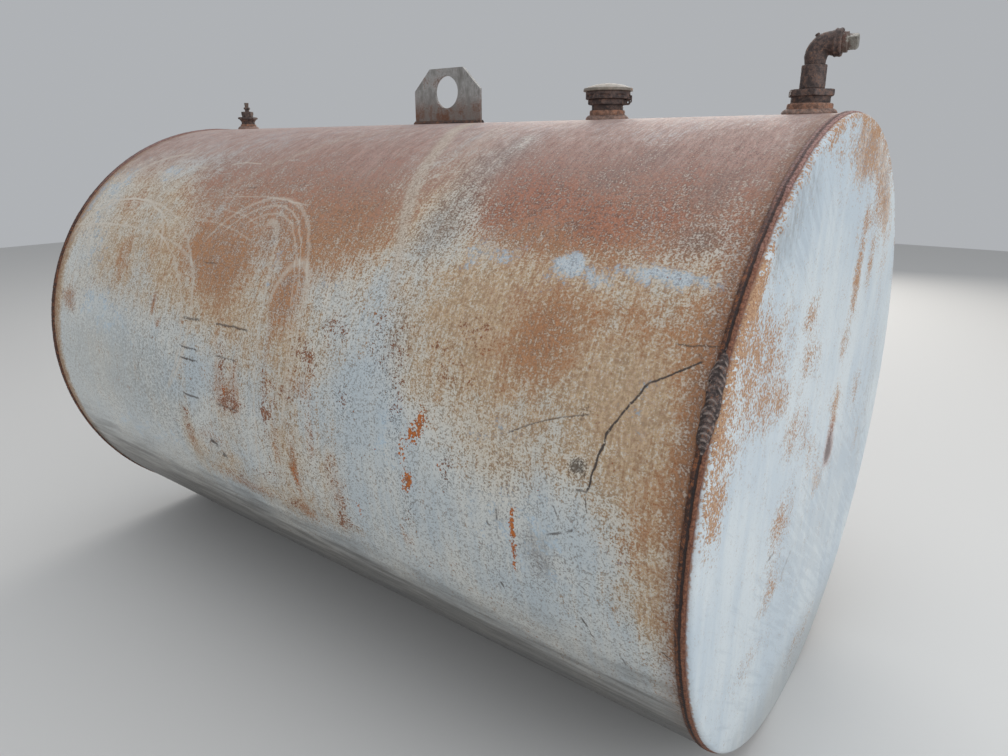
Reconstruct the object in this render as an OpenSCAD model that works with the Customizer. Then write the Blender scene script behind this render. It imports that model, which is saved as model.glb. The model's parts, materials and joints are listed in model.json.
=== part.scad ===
// Horizontal pressure tank: a rolled shell, two flat heads with turned flanges
// that are butt-welded to it, a lifting lug, and three threaded fittings in
// collars that are welded along the crest.
// X runs along the tank towards the near head, Z is up, and the origin is on
// the ground under the middle of the tank. All sizes are in millimetres.

/* [Shell] */
// Outside diameter of the shell
shell_d = 1219; // [1000:1:1400]
// Overall length over the two heads
tank_l = 1954; // [1700:1:2400]
// Thickness of the shell plate
shell_t = 4.8; // [3:0.1:8]
// Width of the flat that the belly has settled to where it rests
belly_flat_w = 120; // [80:1:180]
// Angle of the shell's long joint above the horizontal, on the back
seam_angle = 40; // [15:1:70]

/* [Heads] */
// Thickness of the head plate
head_t = 4.8; // [3:0.1:7]
// Length of a head's flange, from its face to its edge
flange_l = 17; // [16:0.5:40]
// Outside radius of the bend between a head's face and its flange
knuckle_r = 9; // [7.5:0.5:10]

/* [Welds] */
// Gap between two plates that a butt weld fills
root_gap = 3; // [1:0.5:5]
// Width of the long weld's cap
cap_w = 10; // [7:0.5:16]
// Height of the long weld's cap above the plate
cap_h = 1.5; // [0.8:0.1:3]
// Width of the cap of the ring weld between the shell and a head
ring_w = 15; // [12:0.5:18]
// Height of the ring weld's cap above the plate
ring_h = 2.8; // [1.5:0.1:4]
// Leg of the fillet welds round the collars
collar_weld_leg = 8; // [4:0.5:12]
// Leg of the fillet welds along the lifting lug
lug_weld_leg = 7; // [4:0.5:10]
// Start of the repair in the near ring weld, as an angle above the horizontal
repair_from = 16; // [12:1:20]
// Sweep of the repair bead round the near head
repair_sweep = 14; // [6:1:30]
// Width of the repair bead
repair_w = 22; // [16:0.5:24]
// Height of the repair bead above the shell
repair_h = 4.5; // [3:0.5:6]

/* [Lifting lug] */
// Distance of the lug's hole from the middle of the tank
lug_x = 22.5; // [0:0.5:60]
// Length of the lug where it meets the shell
lug_l = 211; // [180:1:260]
// Length of the lug's flat top
lug_top_l = 106; // [90:1:150]
// Height of the lug
lug_h = 127.5; // [118:0.5:150]
// Height of the lug's upright ends
lug_end_h = 78; // [50:1:95]
// Thickness of the lug
lug_t = 8; // [5:0.5:14]
// Diameter of the lifting hole
lug_hole_d = 73.5; // [50:0.5:80]
// Height of the lifting hole above the shell
lug_hole_h = 73; // [60:0.5:78]

/* [Collars] */
// Radius of the rounded top edge of a collar
collar_round = 2.5; // [1:0.5:3]
// Length of a collar inside the shell
collar_in = 10; // [4:1:20]
// Gap between a thread or curved face and what it is fitted to
fit = 0.3; // [0.1:0.05:0.5]
// Depth that a pipe is screwed into a fitting
thread_in = 16; // [10:0.5:18]

/* [Vent] */
// Distance of the vent from the near head's face
vent_setback = 506; // [400:1:700]
// Outside diameter of the vent's collar
vent_collar_d = 74; // [72:0.5:84]
// Height of the vent's collar above the shell
vent_collar_h = 18; // [14:0.5:30]
// Outside diameter of the vent's neck
vent_neck_d = 65; // [50:0.5:66]
// Exposed length of the vent's neck
vent_neck_l = 10.5; // [6:0.5:24]
// Width across the flats of the vent's hexagon
vent_hex_w = 73; // [68:0.5:78]
// Height of the vent's hexagon
vent_hex_h = 11; // [8:0.5:16]
// Turn of the vent's hexagon about its axis
vent_hex_turn = -18; // [-30:1:30]
// Outside diameter of the vent's body
vent_body_d = 93; // [90:0.5:100]
// Height of the vent's body
vent_body_h = 15.5; // [12:0.5:24]
// Number of breather slots round the body
slot_count = 8; // [6:1:10]
// Width of a breather slot
slot_w = 21.5; // [10:0.5:24]
// Height of a breather slot
slot_h = 6; // [4:0.5:8]
// Depth of a breather slot
slot_depth = 3; // [1:0.5:6]
// Turn of the breather slots about the vent's axis
slot_turn = -70; // [-90:1:0]
// Outside diameter of the vent's lid
vent_lid_d = 103; // [98:0.5:120]
// Height of the rim of the vent's lid
vent_rim_h = 6.5; // [5:0.5:14]
// Height of the dome on the vent's lid
vent_dome_h = 9.5; // [6:0.5:16]
// Radius of the lid's rounded edges
lid_round = 2.2; // [0.5:0.1:2.4]
// Direction in which the two padlock ears point, measured from the near head
ear_turn = 20; // [0:1:45]
// Thickness of a padlock ear
ear_t = 5; // [3:0.5:6]
// Diameter of the hole in a padlock ear
ear_hole_d = 3.6; // [2:0.1:4]
// Radius of the round end of the hexagon's ear
hex_ear_r = 5.6; // [4:0.1:7]
// Distance of that ear's hole from the hexagon's flat
hex_ear_out = 6; // [5:0.5:10]
// Width of the body's ear
body_ear_w = 7.6; // [6:0.1:10]
// How far the hole of the body's ear lies below the body
body_ear_drop = 3.4; // [2.5:0.1:6]

/* [Riser] */
// Distance of the riser from the near head's face
riser_setback = 95; // [85:1:200]
// Outside diameter of the riser's collar
riser_collar_d = 78; // [74:0.5:84]
// Height of the riser's collar above the shell
riser_collar_h = 17.5; // [14:0.5:30]
// Outside diameter of the bushing's threaded shank
bushing_shank_d = 66; // [50:0.5:68]
// Exposed length of the bushing's shank
bushing_shank_l = 11.5; // [4:0.5:24]
// Width across the flats of the bushing's hexagon
bushing_hex_w = 71.5; // [70:0.5:80]
// Height of the bushing's hexagon
bushing_hex_h = 11.5; // [8:0.5:14]
// Turn of the bushing's hexagon about its axis
bushing_hex_turn = -8; // [-30:1:30]
// Height of the chamfer on the corners of the large hexagons
hex_chamfer = 1.6; // [0.5:0.1:2.4]
// Outside diameter of the riser's pipe
pipe_d = 33.4; // [26:0.1:34]
// Wall of the riser's pipe
pipe_wall = 3.4; // [2:0.1:5]
// Exposed length of the nipple between the bushing and the coupling
nipple_gap = 1; // [0.5:0.5:10]
// Outside diameter of the coupling
coupling_d = 42.5; // [41:0.5:50]
// Length of the coupling
coupling_l = 39.5; // [38:0.5:60]
// Bevel on the coupling's ends
coupling_bevel = 1.2; // [0.4:0.1:2]
// Turn of the elbow's outlet away from the near head's direction
outlet_turn = 6; // [-15:1:30]
// Outside diameter of the elbow's bend
elbow_d = 38; // [35:0.5:40]
// Outside diameter of the elbow's hub, behind the band
hub_d = 42.5; // [42:0.5:44]
// Length over which the bend widens into the hub
hub_flare_l = 7; // [3:0.5:7]
// Radius of the elbow's bend along its middle
elbow_bend_r = 21.5; // [21.5:0.5:30]
// Height of the elbow's outlet above the coupling
elbow_rise = 34; // [32:0.5:60]
// Distance from the riser's axis to the face of the outlet
outlet_reach = 41; // [38:0.5:60]
// Outside diameter of the band round the outlet
band_d = 46; // [45:0.5:52]
// Width of the band round the outlet
band_w = 12.5; // [11:0.5:14]
// Width of each of the band's two ridges
band_ridge_w = 2.2; // [1:0.1:2.5]
// Depth of the band's groove between its ridges
band_groove = 0.8; // [0.3:0.1:1]
// Diameter of the casting nub on the back of the elbow
nub_d = 8; // [4:0.5:12]
// How far the nub stands out from the elbow
nub_h = 4; // [1:0.5:8]
// Tilt of the nub from the vertical
nub_tilt = 32; // [10:1:60]
// Exposed length of the plug's round shoulder
plug_shoulder_l = 8.5; // [3:0.5:12]
// Width of the plug's square head
plug_square_w = 21.5; // [16:0.5:23]
// Length of the plug's square head
plug_square_l = 16.5; // [10:0.5:24]
// Turn of the plug about its own axis
plug_turn = 21; // [0:1:45]
// Bevel round the end of the plug's square head
plug_bevel = 1.5; // [0.5:0.5:3]

/* [Far fitting] */
// Distance of the far fitting from the far head's face
far_setback = 167; // [120:1:400]
// Outside diameter of the far collar
far_collar_d = 47; // [46:0.5:60]
// Height of the far collar above the shell
far_collar_h = 14; // [10:0.5:24]
// Outside diameter of the far bushing's shank
far_shank_d = 39.5; // [36:0.5:40]
// Exposed length of the far bushing's shank
far_shank_l = 7.5; // [4:0.5:24]
// Height of the flare under the far bushing's hexagon
far_flare_h = 7; // [3:0.5:12]
// Width across the flats of the far bushing's hexagon
far_hex_w = 51; // [44:0.5:56]
// Height of the far bushing's hexagon
far_hex_h = 6.5; // [5:0.5:12]
// Turn of the far hexagons about their axis
far_hex_turn = -4; // [-30:1:30]
// Width across the flats of the reducer
reducer_w = 31; // [28:0.5:31]
// Diameter of the cone that rounds off the reducer's corners at its base
reducer_base_d = 32; // [31.5:0.5:34]
// Diameter of that cone at the reducer's top
reducer_top_d = 38; // [36:0.5:42]
// Height of the reducer
reducer_h = 16; // [14:0.5:24]
// Outside diameter of the small nipple
small_pipe_d = 13; // [8:0.5:13]
// Exposed length of the small nipple
small_nipple_gap = 6.5; // [1:0.5:10]
// Width across the flats of the small coupling
small_coupling_w = 16.5; // [16:0.5:22]
// Length of the small coupling
small_coupling_l = 6.5; // [6:0.5:20]
// Chamfer on the ends of the small coupling
small_chamfer = 1; // [0.4:0.1:1.2]
// Depth that the small pieces are screwed into one another
small_thread_in = 3; // [1.5:0.5:4]
// Diameter of the small plug's waist
small_waist_d = 10.5; // [8:0.5:12]
// Diameter of the small plug's top
small_plug_d = 13.5; // [10:0.5:20]
// Height of the small plug's head
small_plug_h = 13; // [4:0.5:18]

/* [Hidden] */
$fn = 96;

shell_r = shell_d / 2;
edge_x = tank_l / 2 - flange_l;
ring_x = edge_x - root_gap / 2;
shell_end = edge_x - root_gap;
belly_rise = shell_r - sqrt(pow(shell_r, 2) - pow(belly_flat_w / 2, 2));
axis_z = shell_r - belly_rise;
crest_z = axis_z + shell_r;
lap_gap = 0.1;
over = 1;

vent_x = tank_l / 2 - vent_setback;
riser_x = tank_l / 2 - riser_setback;
far_x = far_setback - tank_l / 2;

paint = [0.80, 0.83, 0.86];
rusty = [0.45, 0.27, 0.18];
iron = [0.25, 0.19, 0.16];
bright = [0.72, 0.71, 0.68];

// Places a shape drawn along Z so that it runs along the tank's own axis
module along_tank() {
  translate([0, 0, axis_z])
    rotate([0, 90, 0])
      children();
}

// Plain round drum from x_from to x_to
module drum(r, x_from, x_to) {
  along_tank()
    translate([0, 0, x_from])
      cylinder(r = r, h = x_to - x_from, $fn = 240);
}

// Keeps what lies above the height z
module keep_above(z) {
  intersection() {
    children();
    translate([-tank_l, -shell_d, z])
      cube([2 * tank_l, 2 * shell_d, 2 * shell_d]);
  }
}

// Drum whose belly is flat at the height z
module settled_drum(r, x_from, x_to, z) {
  keep_above(z)
    drum(r, x_from, x_to);
}

// Hole through the crest of the shell for a collar
module collar_hole(x, d) {
  translate([x, 0, crest_z - shell_r / 2])
    cylinder(d = d + 2 * fit, h = shell_r);
}

// Rolled plate with the gap of its long joint left open
module shell() {
  color(paint)
    difference() {
      settled_drum(shell_r, -shell_end, shell_end, 0);
      settled_drum(shell_r - shell_t, -shell_end - over, shell_end + over, shell_t);
      translate([-shell_end - over, 0, axis_z])
        rotate([seam_angle, 0, 0])
          translate([0, shell_r / 2, -root_gap / 2])
            cube([2 * shell_end + 2 * over, shell_r, root_gap]);
      collar_hole(vent_x, vent_collar_d);
      collar_hole(riser_x, riser_collar_d);
      collar_hole(far_x, far_collar_d);
    }
}

// Round cap of a butt weld, seen along the weld, with the plate's face at y = 0
module cap_profile(w, h) {
  arc_r = (pow(w / 2, 2) + pow(h, 2)) / (2 * h);
  intersection() {
    translate([0, h - arc_r])
      circle(r = arc_r);
    translate([-w, lap_gap])
      square([2 * w, h]);
  }
}

// Fills the shell's long joint, with its cap stopped short of the ring welds
module long_weld() {
  cap_end = ring_x - ring_w / 2 - fit;
  color(paint)
    translate([0, 0, axis_z])
      rotate([seam_angle, 0, 0])
        rotate([90, 0, 90])
          union() {
            linear_extrude(height = 2 * shell_end, center = true)
              difference() {
                translate([shell_r - shell_t, -root_gap / 2])
                  square([shell_t, root_gap]);
                circle(r = shell_r - shell_t, $fn = 240);
              }
            linear_extrude(height = 2 * cap_end, center = true)
              union() {
                translate([shell_r - shell_t / 2, -root_gap / 2])
                  square([shell_t / 2 + 2 * lap_gap, root_gap]);
                translate([shell_r, 0])
                  rotate(-90)
                    cap_profile(cap_w, cap_h);
              }
          }
}

// Half outline of a flat-ended cup with a rounded edge
module cup_profile(r, h, k) {
  square([r - k, h]);
  square([r, h - k]);
  translate([r - k, h - k])
    circle(r = k);
}

// Flat head that faces +X, with its flange turned in towards the shell
module head() {
  difference() {
    keep_above(0)
      along_tank()
        translate([0, 0, edge_x])
          rotate_extrude($fn = 240)
            cup_profile(shell_r, flange_l, knuckle_r);
    keep_above(head_t)
      along_tank()
        translate([0, 0, edge_x - over])
          rotate_extrude($fn = 240)
            cup_profile(shell_r - head_t, flange_l + over - head_t, knuckle_r - head_t);
  }
}

module head_near() {
  color(paint)
    head();
}

module head_far() {
  color(paint)
    mirror([1, 0, 0])
      head();
}

// Angles round the tank's axis, from straight down and past the back: where the ring
// weld's cap leaves the floor, and where the repair starts
cap_rest_angle = acos(axis_z / (shell_r + ring_h)) + 0.2;
repair_start = 270 - repair_from - repair_sweep;

// Ring weld between the shell and the head at +X, with a cap over each span of angles
module ring_weld(spans) {
  color(rusty)
    difference() {
      union() {
        keep_above(0)
          along_tank()
            translate([0, 0, ring_x])
              rotate_extrude($fn = 240)
                translate([shell_r - shell_t, -root_gap / 2])
                  square([shell_t + 2 * lap_gap, root_gap]);
        for (span = spans)
          along_tank()
            translate([0, 0, ring_x])
              rotate([0, 0, span[0]])
                rotate_extrude(angle = span[1] - span[0], $fn = 240)
                  translate([shell_r, 0])
                    rotate(-90)
                      cap_profile(ring_w, ring_h);
      }
      settled_drum(shell_r - shell_t, ring_x - ring_w, ring_x + ring_w, shell_t);
    }
}

module head_weld_near() {
  ring_weld([[cap_rest_angle, repair_start], [repair_start + repair_sweep, 360 - cap_rest_angle]]);
}

module head_weld_far() {
  mirror([1, 0, 0])
    ring_weld([[cap_rest_angle, 360 - cap_rest_angle]]);
}

// Thick bead that takes the place of the cap where the near joint was welded again
module repair_bead() {
  color(rusty)
    along_tank()
      translate([0, 0, ring_x + (repair_w - ring_w) / 2])
        rotate([0, 0, repair_start])
          rotate_extrude(angle = repair_sweep)
            translate([shell_r + 2 * lap_gap, 0])
              rotate(-90)
                cap_profile(repair_w, repair_h);
}

// Outline of the lug, with its foot on the shell and its hole's centre at x = 0
module lug_outline() {
  polygon([
    [-lug_l / 2, 0],
    [lug_l / 2, 0],
    [lug_l / 2, lug_end_h],
    [lug_top_l / 2, lug_h],
    [-lug_top_l / 2, lug_h],
    [-lug_l / 2, lug_end_h]
  ]);
}

module lifting_lug() {
  color(bright)
    translate([lug_x, lug_t / 2, crest_z])
      rotate([90, 0, 0])
        linear_extrude(height = lug_t)
          difference() {
            lug_outline();
            translate([0, lug_hole_h])
              circle(d = lug_hole_d);
          }
}

// Fillet weld along the front of the lug's foot
module lug_weld() {
  color(rusty)
    translate([lug_x - lug_l / 2, -lug_t / 2, crest_z])
      rotate([90, 0, 90])
        linear_extrude(height = lug_l)
          polygon([
            [0, 0],
            [0, lug_weld_leg],
            [-lug_weld_leg * 0.6, lug_weld_leg * 0.6],
            [-lug_weld_leg, 0]
          ]);
}

module lug_weld_front() {
  lug_weld();
}

module lug_weld_back() {
  mirror([0, 1, 0])
    lug_weld();
}

// Threaded collar that stands through the shell at x
module collar(x, d, h, bore_d) {
  total_h = shell_t + collar_in + h;
  color(rusty)
    translate([x, 0, crest_z - shell_t - collar_in])
      difference() {
        rotate_extrude()
          cup_profile(d / 2, total_h, collar_round);
        translate([0, 0, -over])
          cylinder(d = bore_d, h = total_h + 2 * over);
      }
}

// Fillet weld round a collar, shaped to the shell below it
module collar_weld(x, d) {
  drop = shell_r - sqrt(pow(shell_r, 2) - pow(d / 2 + collar_weld_leg, 2));
  color(rusty)
    difference() {
      translate([x, 0, crest_z])
        rotate_extrude()
          translate([d / 2 + lap_gap, 0])
            polygon([
              [0, -drop - over],
              [0, collar_weld_leg],
              [collar_weld_leg * 0.6, collar_weld_leg * 0.6],
              [collar_weld_leg, -drop],
              [collar_weld_leg, -drop - over]
            ]);
      drum(shell_r + lap_gap, x - d, x + d);
    }
}

// Hollow pipe or shank on the crest, from height z_from to z_to
module tube(x, d, bore_d, z_from, z_to) {
  translate([x, 0, crest_z + z_from])
    difference() {
      cylinder(d = d, h = z_to - z_from);
      translate([0, 0, -over])
        cylinder(d = bore_d, h = z_to - z_from + 2 * over);
    }
}

// Hexagon w across its flats, with its corners taken off at both ends
module hexagon(w, h, turn, chamfer) {
  corner_r = w / 2 / cos(30);
  end_r = corner_r - 2 * chamfer;
  intersection() {
    rotate([0, 0, turn])
      cylinder(r = corner_r, h = h, $fn = 6);
    rotate_extrude()
      polygon([[0, 0], [end_r, 0], [end_r + h, h / 2], [end_r, h], [0, h]]);
  }
}

vent_hex_z = vent_collar_h + vent_neck_l;
vent_body_z = vent_hex_z + vent_hex_h;
vent_lid_z = vent_body_z + vent_body_h;
vent_bore_d = vent_neck_d - 10;
ear_gap = 0.5;

// Stands a flat shape up beside the vent as a plate, where its x is the distance
// from the vent's axis, its y is the height above the crest, and side moves it over
module ear_plate(side) {
  translate([vent_x, 0, crest_z])
    rotate([0, 0, ear_turn])
      translate([0, side + ear_t / 2, 0])
        rotate([90, 0, 0])
          linear_extrude(height = ear_t)
            children();
}

// Outline of the hexagon's padlock ear
module hex_ear() {
  root_x = vent_neck_d / 2 + fit;
  hole_x = vent_hex_w / 2 + hex_ear_out;
  translate([hole_x, vent_body_z - ear_gap - hex_ear_r])
    difference() {
      union() {
        circle(r = hex_ear_r);
        translate([root_x - hole_x, -hex_ear_r])
          square([hole_x - root_x, 2 * hex_ear_r]);
      }
      circle(d = ear_hole_d);
    }
}

// Outline of the body's padlock ear, which hangs down outside the hexagon's corner
module body_ear() {
  root_x = vent_body_d / 2 - slot_depth - body_ear_w / 2;
  hole_x = vent_hex_w / 2 / cos(30) + fit + body_ear_w / 2;
  translate([hole_x, vent_body_z - body_ear_drop])
    difference() {
      union() {
        circle(d = body_ear_w);
        translate([-body_ear_w / 2, 0])
          square([body_ear_w, body_ear_drop + body_ear_w]);
        translate([root_x - hole_x, body_ear_drop])
          square([hole_x - root_x, body_ear_w]);
      }
      circle(d = ear_hole_d);
    }
}

module vent_collar() {
  collar(vent_x, vent_collar_d, vent_collar_h, vent_neck_d + 2 * fit);
}

module vent_collar_weld() {
  collar_weld(vent_x, vent_collar_d);
}

module vent_neck() {
  color(iron)
    tube(vent_x, vent_neck_d, vent_bore_d, vent_collar_h - thread_in, vent_hex_z);
}

module vent_hexagon() {
  color(iron)
    union() {
      translate([vent_x, 0, crest_z + vent_hex_z])
        difference() {
          hexagon(vent_hex_w, vent_hex_h, vent_hex_turn, hex_chamfer);
          translate([0, 0, -over])
            cylinder(d = vent_bore_d, h = vent_hex_h + 2 * over);
        }
      ear_plate(0)
        hex_ear();
    }
}

module vent_body() {
  color(iron)
    union() {
      difference() {
        tube(vent_x, vent_body_d, vent_bore_d, vent_body_z, vent_lid_z);
        for (i = [0 : slot_count - 1])
          translate([vent_x, 0, crest_z + vent_body_z + (vent_body_h - slot_h) / 4])
            rotate([0, 0, slot_turn + i * 360 / slot_count])
              translate([vent_body_d / 2 - slot_depth, -slot_w / 2, 0])
                cube([2 * slot_depth, slot_w, slot_h]);
      }
      ear_plate(ear_t + ear_gap)
        body_ear();
    }
}

module vent_lid() {
  r = vent_lid_d / 2;
  dome_base_r = r - 1.5 * lid_round;
  dome_r = (pow(dome_base_r, 2) + pow(vent_dome_h, 2)) / (2 * vent_dome_h);
  color(bright)
    translate([vent_x, 0, crest_z + vent_lid_z])
      rotate_extrude()
        union() {
          cup_profile(r, vent_rim_h, lid_round);
          intersection() {
            translate([0, vent_rim_h + vent_dome_h - dome_r])
              circle(r = dome_r, $fn = 240);
            square([r, vent_rim_h + vent_dome_h]);
          }
        }
}

bushing_hex_z = riser_collar_h + bushing_shank_l;
nipple_z = bushing_hex_z + bushing_hex_h;
coupling_z = nipple_z + nipple_gap;
elbow_z = coupling_z + coupling_l;
outlet_z = elbow_z + elbow_rise;
pipe_bore_d = pipe_d - 2 * pipe_wall;
socket_d = pipe_d + 2 * fit;

module riser_collar() {
  collar(riser_x, riser_collar_d, riser_collar_h, bushing_shank_d + 2 * fit);
}

module riser_collar_weld() {
  collar_weld(riser_x, riser_collar_d);
}

module riser_bushing() {
  color(iron)
    difference() {
      union() {
        translate([riser_x, 0, crest_z + riser_collar_h - thread_in])
          cylinder(d = bushing_shank_d, h = bushing_shank_l + thread_in);
        translate([riser_x, 0, crest_z + bushing_hex_z])
          hexagon(bushing_hex_w, bushing_hex_h, bushing_hex_turn, hex_chamfer);
      }
      translate([riser_x, 0, crest_z + riser_collar_h - thread_in - over])
        cylinder(d = socket_d, h = bushing_shank_l + thread_in + bushing_hex_h + 2 * over);
    }
}

module riser_nipple() {
  color(iron)
    tube(riser_x, pipe_d, pipe_bore_d, nipple_z - thread_in, coupling_z + thread_in);
}

module riser_coupling() {
  r = coupling_d / 2;
  color(iron)
    translate([riser_x, 0, crest_z + coupling_z])
      difference() {
        rotate_extrude()
          polygon([
            [0, 0],
            [r - coupling_bevel, 0],
            [r, coupling_bevel],
            [r, coupling_l - coupling_bevel],
            [r - coupling_bevel, coupling_l],
            [0, coupling_l]
          ]);
        translate([0, 0, -over])
          cylinder(d = socket_d, h = coupling_l + 2 * over);
      }
}

// Puts a shape on the riser's axis at height z, turned the way that the outlet points
module at_outlet(z) {
  translate([riser_x, 0, crest_z + z])
    rotate([0, 0, outlet_turn])
      children();
}

// Quarter bend from straight up to +X, with the corner of its middle line at the origin
module quarter_bend(d) {
  translate([elbow_bend_r, 0, -elbow_bend_r])
    rotate([90, 0, 0])
      rotate([0, 0, 90])
        rotate_extrude(angle = 90)
          translate([elbow_bend_r, 0])
            circle(d = d);
}

// Band round the outlet, seen in half section, from its back at y = 0
module band_profile() {
  r = band_d / 2;
  polygon([
    [0, 0],
    [r - band_groove, 0],
    [r, band_groove],
    [r, band_ridge_w],
    [r - band_groove, band_ridge_w + band_groove],
    [r - band_groove, band_w - 2 * band_ridge_w - band_groove],
    [r, band_w - 2 * band_ridge_w],
    [r, band_w - band_ridge_w],
    [r - band_ridge_w / 2, band_w],
    [0, band_w]
  ]);
}

module riser_elbow() {
  color(iron)
    at_outlet(outlet_z)
      difference() {
        union() {
          translate([0, 0, -elbow_rise - thread_in])
            cylinder(d = pipe_d, h = thread_in);
          translate([0, 0, -elbow_rise])
            cylinder(d1 = pipe_d, d2 = elbow_d, h = elbow_rise - elbow_bend_r);
          quarter_bend(elbow_d);
          translate([elbow_bend_r, 0, 0])
            rotate([0, 90, 0])
              cylinder(d1 = elbow_d, d2 = hub_d, h = hub_flare_l);
          translate([elbow_bend_r + hub_flare_l, 0, 0])
            rotate([0, 90, 0])
              cylinder(d = hub_d, h = outlet_reach - elbow_bend_r - hub_flare_l);
          translate([outlet_reach - band_w, 0, 0])
            rotate([0, 90, 0])
              rotate_extrude()
                band_profile();
          translate([elbow_bend_r, 0, -elbow_bend_r])
            rotate([0, -nub_tilt, 0])
              translate([0, 0, elbow_bend_r])
                cylinder(d = nub_d, h = elbow_d / 2 + nub_h);
        }
        translate([0, 0, -elbow_rise - thread_in - over])
          cylinder(d = pipe_bore_d, h = elbow_rise + thread_in + over - elbow_bend_r);
        quarter_bend(pipe_bore_d);
        translate([elbow_bend_r, 0, 0])
          rotate([0, 90, 0])
            cylinder(d = pipe_bore_d, h = outlet_reach);
        translate([outlet_reach - thread_in, 0, 0])
          rotate([0, 90, 0])
            cylinder(d = socket_d, h = thread_in + over);
      }
}

// Square bar along Z from z = 0 to h, w wide, with its far end bevelled
module square_head(w, h, bevel) {
  end_r = (w - bevel) / 2;
  intersection() {
    translate([-w / 2, -w / 2, 0])
      cube([w, w, h]);
    rotate_extrude()
      polygon([[0, 0], [w, 0], [w, h - (w - end_r) / 2], [end_r, h], [0, h]]);
  }
}

module outlet_plug() {
  shoulder_end = thread_in - fit + plug_shoulder_l;
  color(bright)
    at_outlet(outlet_z)
      translate([outlet_reach - thread_in + fit, 0, 0])
        rotate([plug_turn, 0, 0])
          rotate([0, 90, 0])
            union() {
              cylinder(d = pipe_d, h = shoulder_end);
              translate([0, 0, shoulder_end - over])
                square_head(plug_square_w, plug_square_l + over, plug_bevel);
            }
}

far_flare_z = far_collar_h + far_shank_l;
far_hex_z = far_flare_z + far_flare_h;
reducer_z = far_hex_z + far_hex_h;
small_nipple_z = reducer_z + reducer_h;
small_coupling_z = small_nipple_z + small_nipple_gap;
small_plug_z = small_coupling_z + small_coupling_l;
small_socket_d = small_pipe_d + 2 * fit;
far_bore_d = small_socket_d + 6;

module far_collar() {
  collar(far_x, far_collar_d, far_collar_h, far_shank_d + 2 * fit);
}

module far_collar_weld() {
  collar_weld(far_x, far_collar_d);
}

module far_bushing() {
  color(iron)
    translate([far_x, 0, crest_z])
      difference() {
        union() {
          translate([0, 0, far_collar_h - thread_in])
            cylinder(d = far_shank_d, h = far_shank_l + thread_in);
          translate([0, 0, far_flare_z])
            cylinder(d1 = far_shank_d, d2 = far_hex_w - fit, h = far_flare_h);
          translate([0, 0, far_hex_z])
            hexagon(far_hex_w, far_hex_h, far_hex_turn, hex_chamfer);
        }
        translate([0, 0, far_collar_h - thread_in - over])
          cylinder(d = far_bore_d, h = reducer_z - far_collar_h + thread_in + 2 * over);
      }
}

module far_reducer() {
  color(iron)
    translate([far_x, 0, crest_z + reducer_z])
      difference() {
        intersection() {
          rotate([0, 0, far_hex_turn])
            cylinder(d = reducer_w / cos(30), h = reducer_h, $fn = 6);
          cylinder(d1 = reducer_base_d, d2 = reducer_top_d, h = reducer_h);
        }
        translate([0, 0, -over])
          cylinder(d = small_socket_d, h = reducer_h + 2 * over);
      }
}

module far_nipple() {
  color(iron)
    translate([far_x, 0, crest_z + small_nipple_z - 2 * small_thread_in])
      cylinder(d = small_pipe_d, h = small_nipple_gap + 3 * small_thread_in);
}

module far_coupling() {
  color(iron)
    translate([far_x, 0, crest_z + small_coupling_z])
      difference() {
        hexagon(small_coupling_w, small_coupling_l, far_hex_turn, small_chamfer);
        translate([0, 0, -over])
          cylinder(d = small_socket_d, h = small_coupling_l + 2 * over);
      }
}

module far_plug() {
  color(iron)
    translate([far_x, 0, crest_z + small_plug_z])
      union() {
        translate([0, 0, fit - small_coupling_l + small_thread_in])
          cylinder(d = small_pipe_d, h = small_coupling_l - small_thread_in - fit);
        cylinder(d1 = small_waist_d, d2 = small_plug_d, h = small_plug_h);
      }
}

shell();
long_weld();
head_far();
head_near();
head_weld_far();
head_weld_near();
repair_bead();
lifting_lug();
lug_weld_front();
lug_weld_back();
vent_collar();
vent_collar_weld();
vent_neck();
vent_hexagon();
vent_body();
vent_lid();
riser_collar();
riser_collar_weld();
riser_bushing();
riser_nipple();
riser_coupling();
riser_elbow();
outlet_plug();
far_collar();
far_collar_weld();
far_bushing();
far_reducer();
far_nipple();
far_coupling();
far_plug();
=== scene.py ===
"""Horizontal pressure tank: a rusted welded drum with flat flanged heads, a lifting lug and three crest fittings.

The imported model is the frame. Each sub-assembly is a class that builds its own meshes and dresses its CAD nodes.
Lengths are metres, except where a name or a docstring says millimetres.
"""
import sys
import json
import logging
import math
from dataclasses import dataclass
from enum import Enum
from typing import Any, Callable, Sequence

import bmesh
import bpy
import numpy as np
from mathutils import Matrix, Vector
from mathutils import noise as soft_noise

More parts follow.
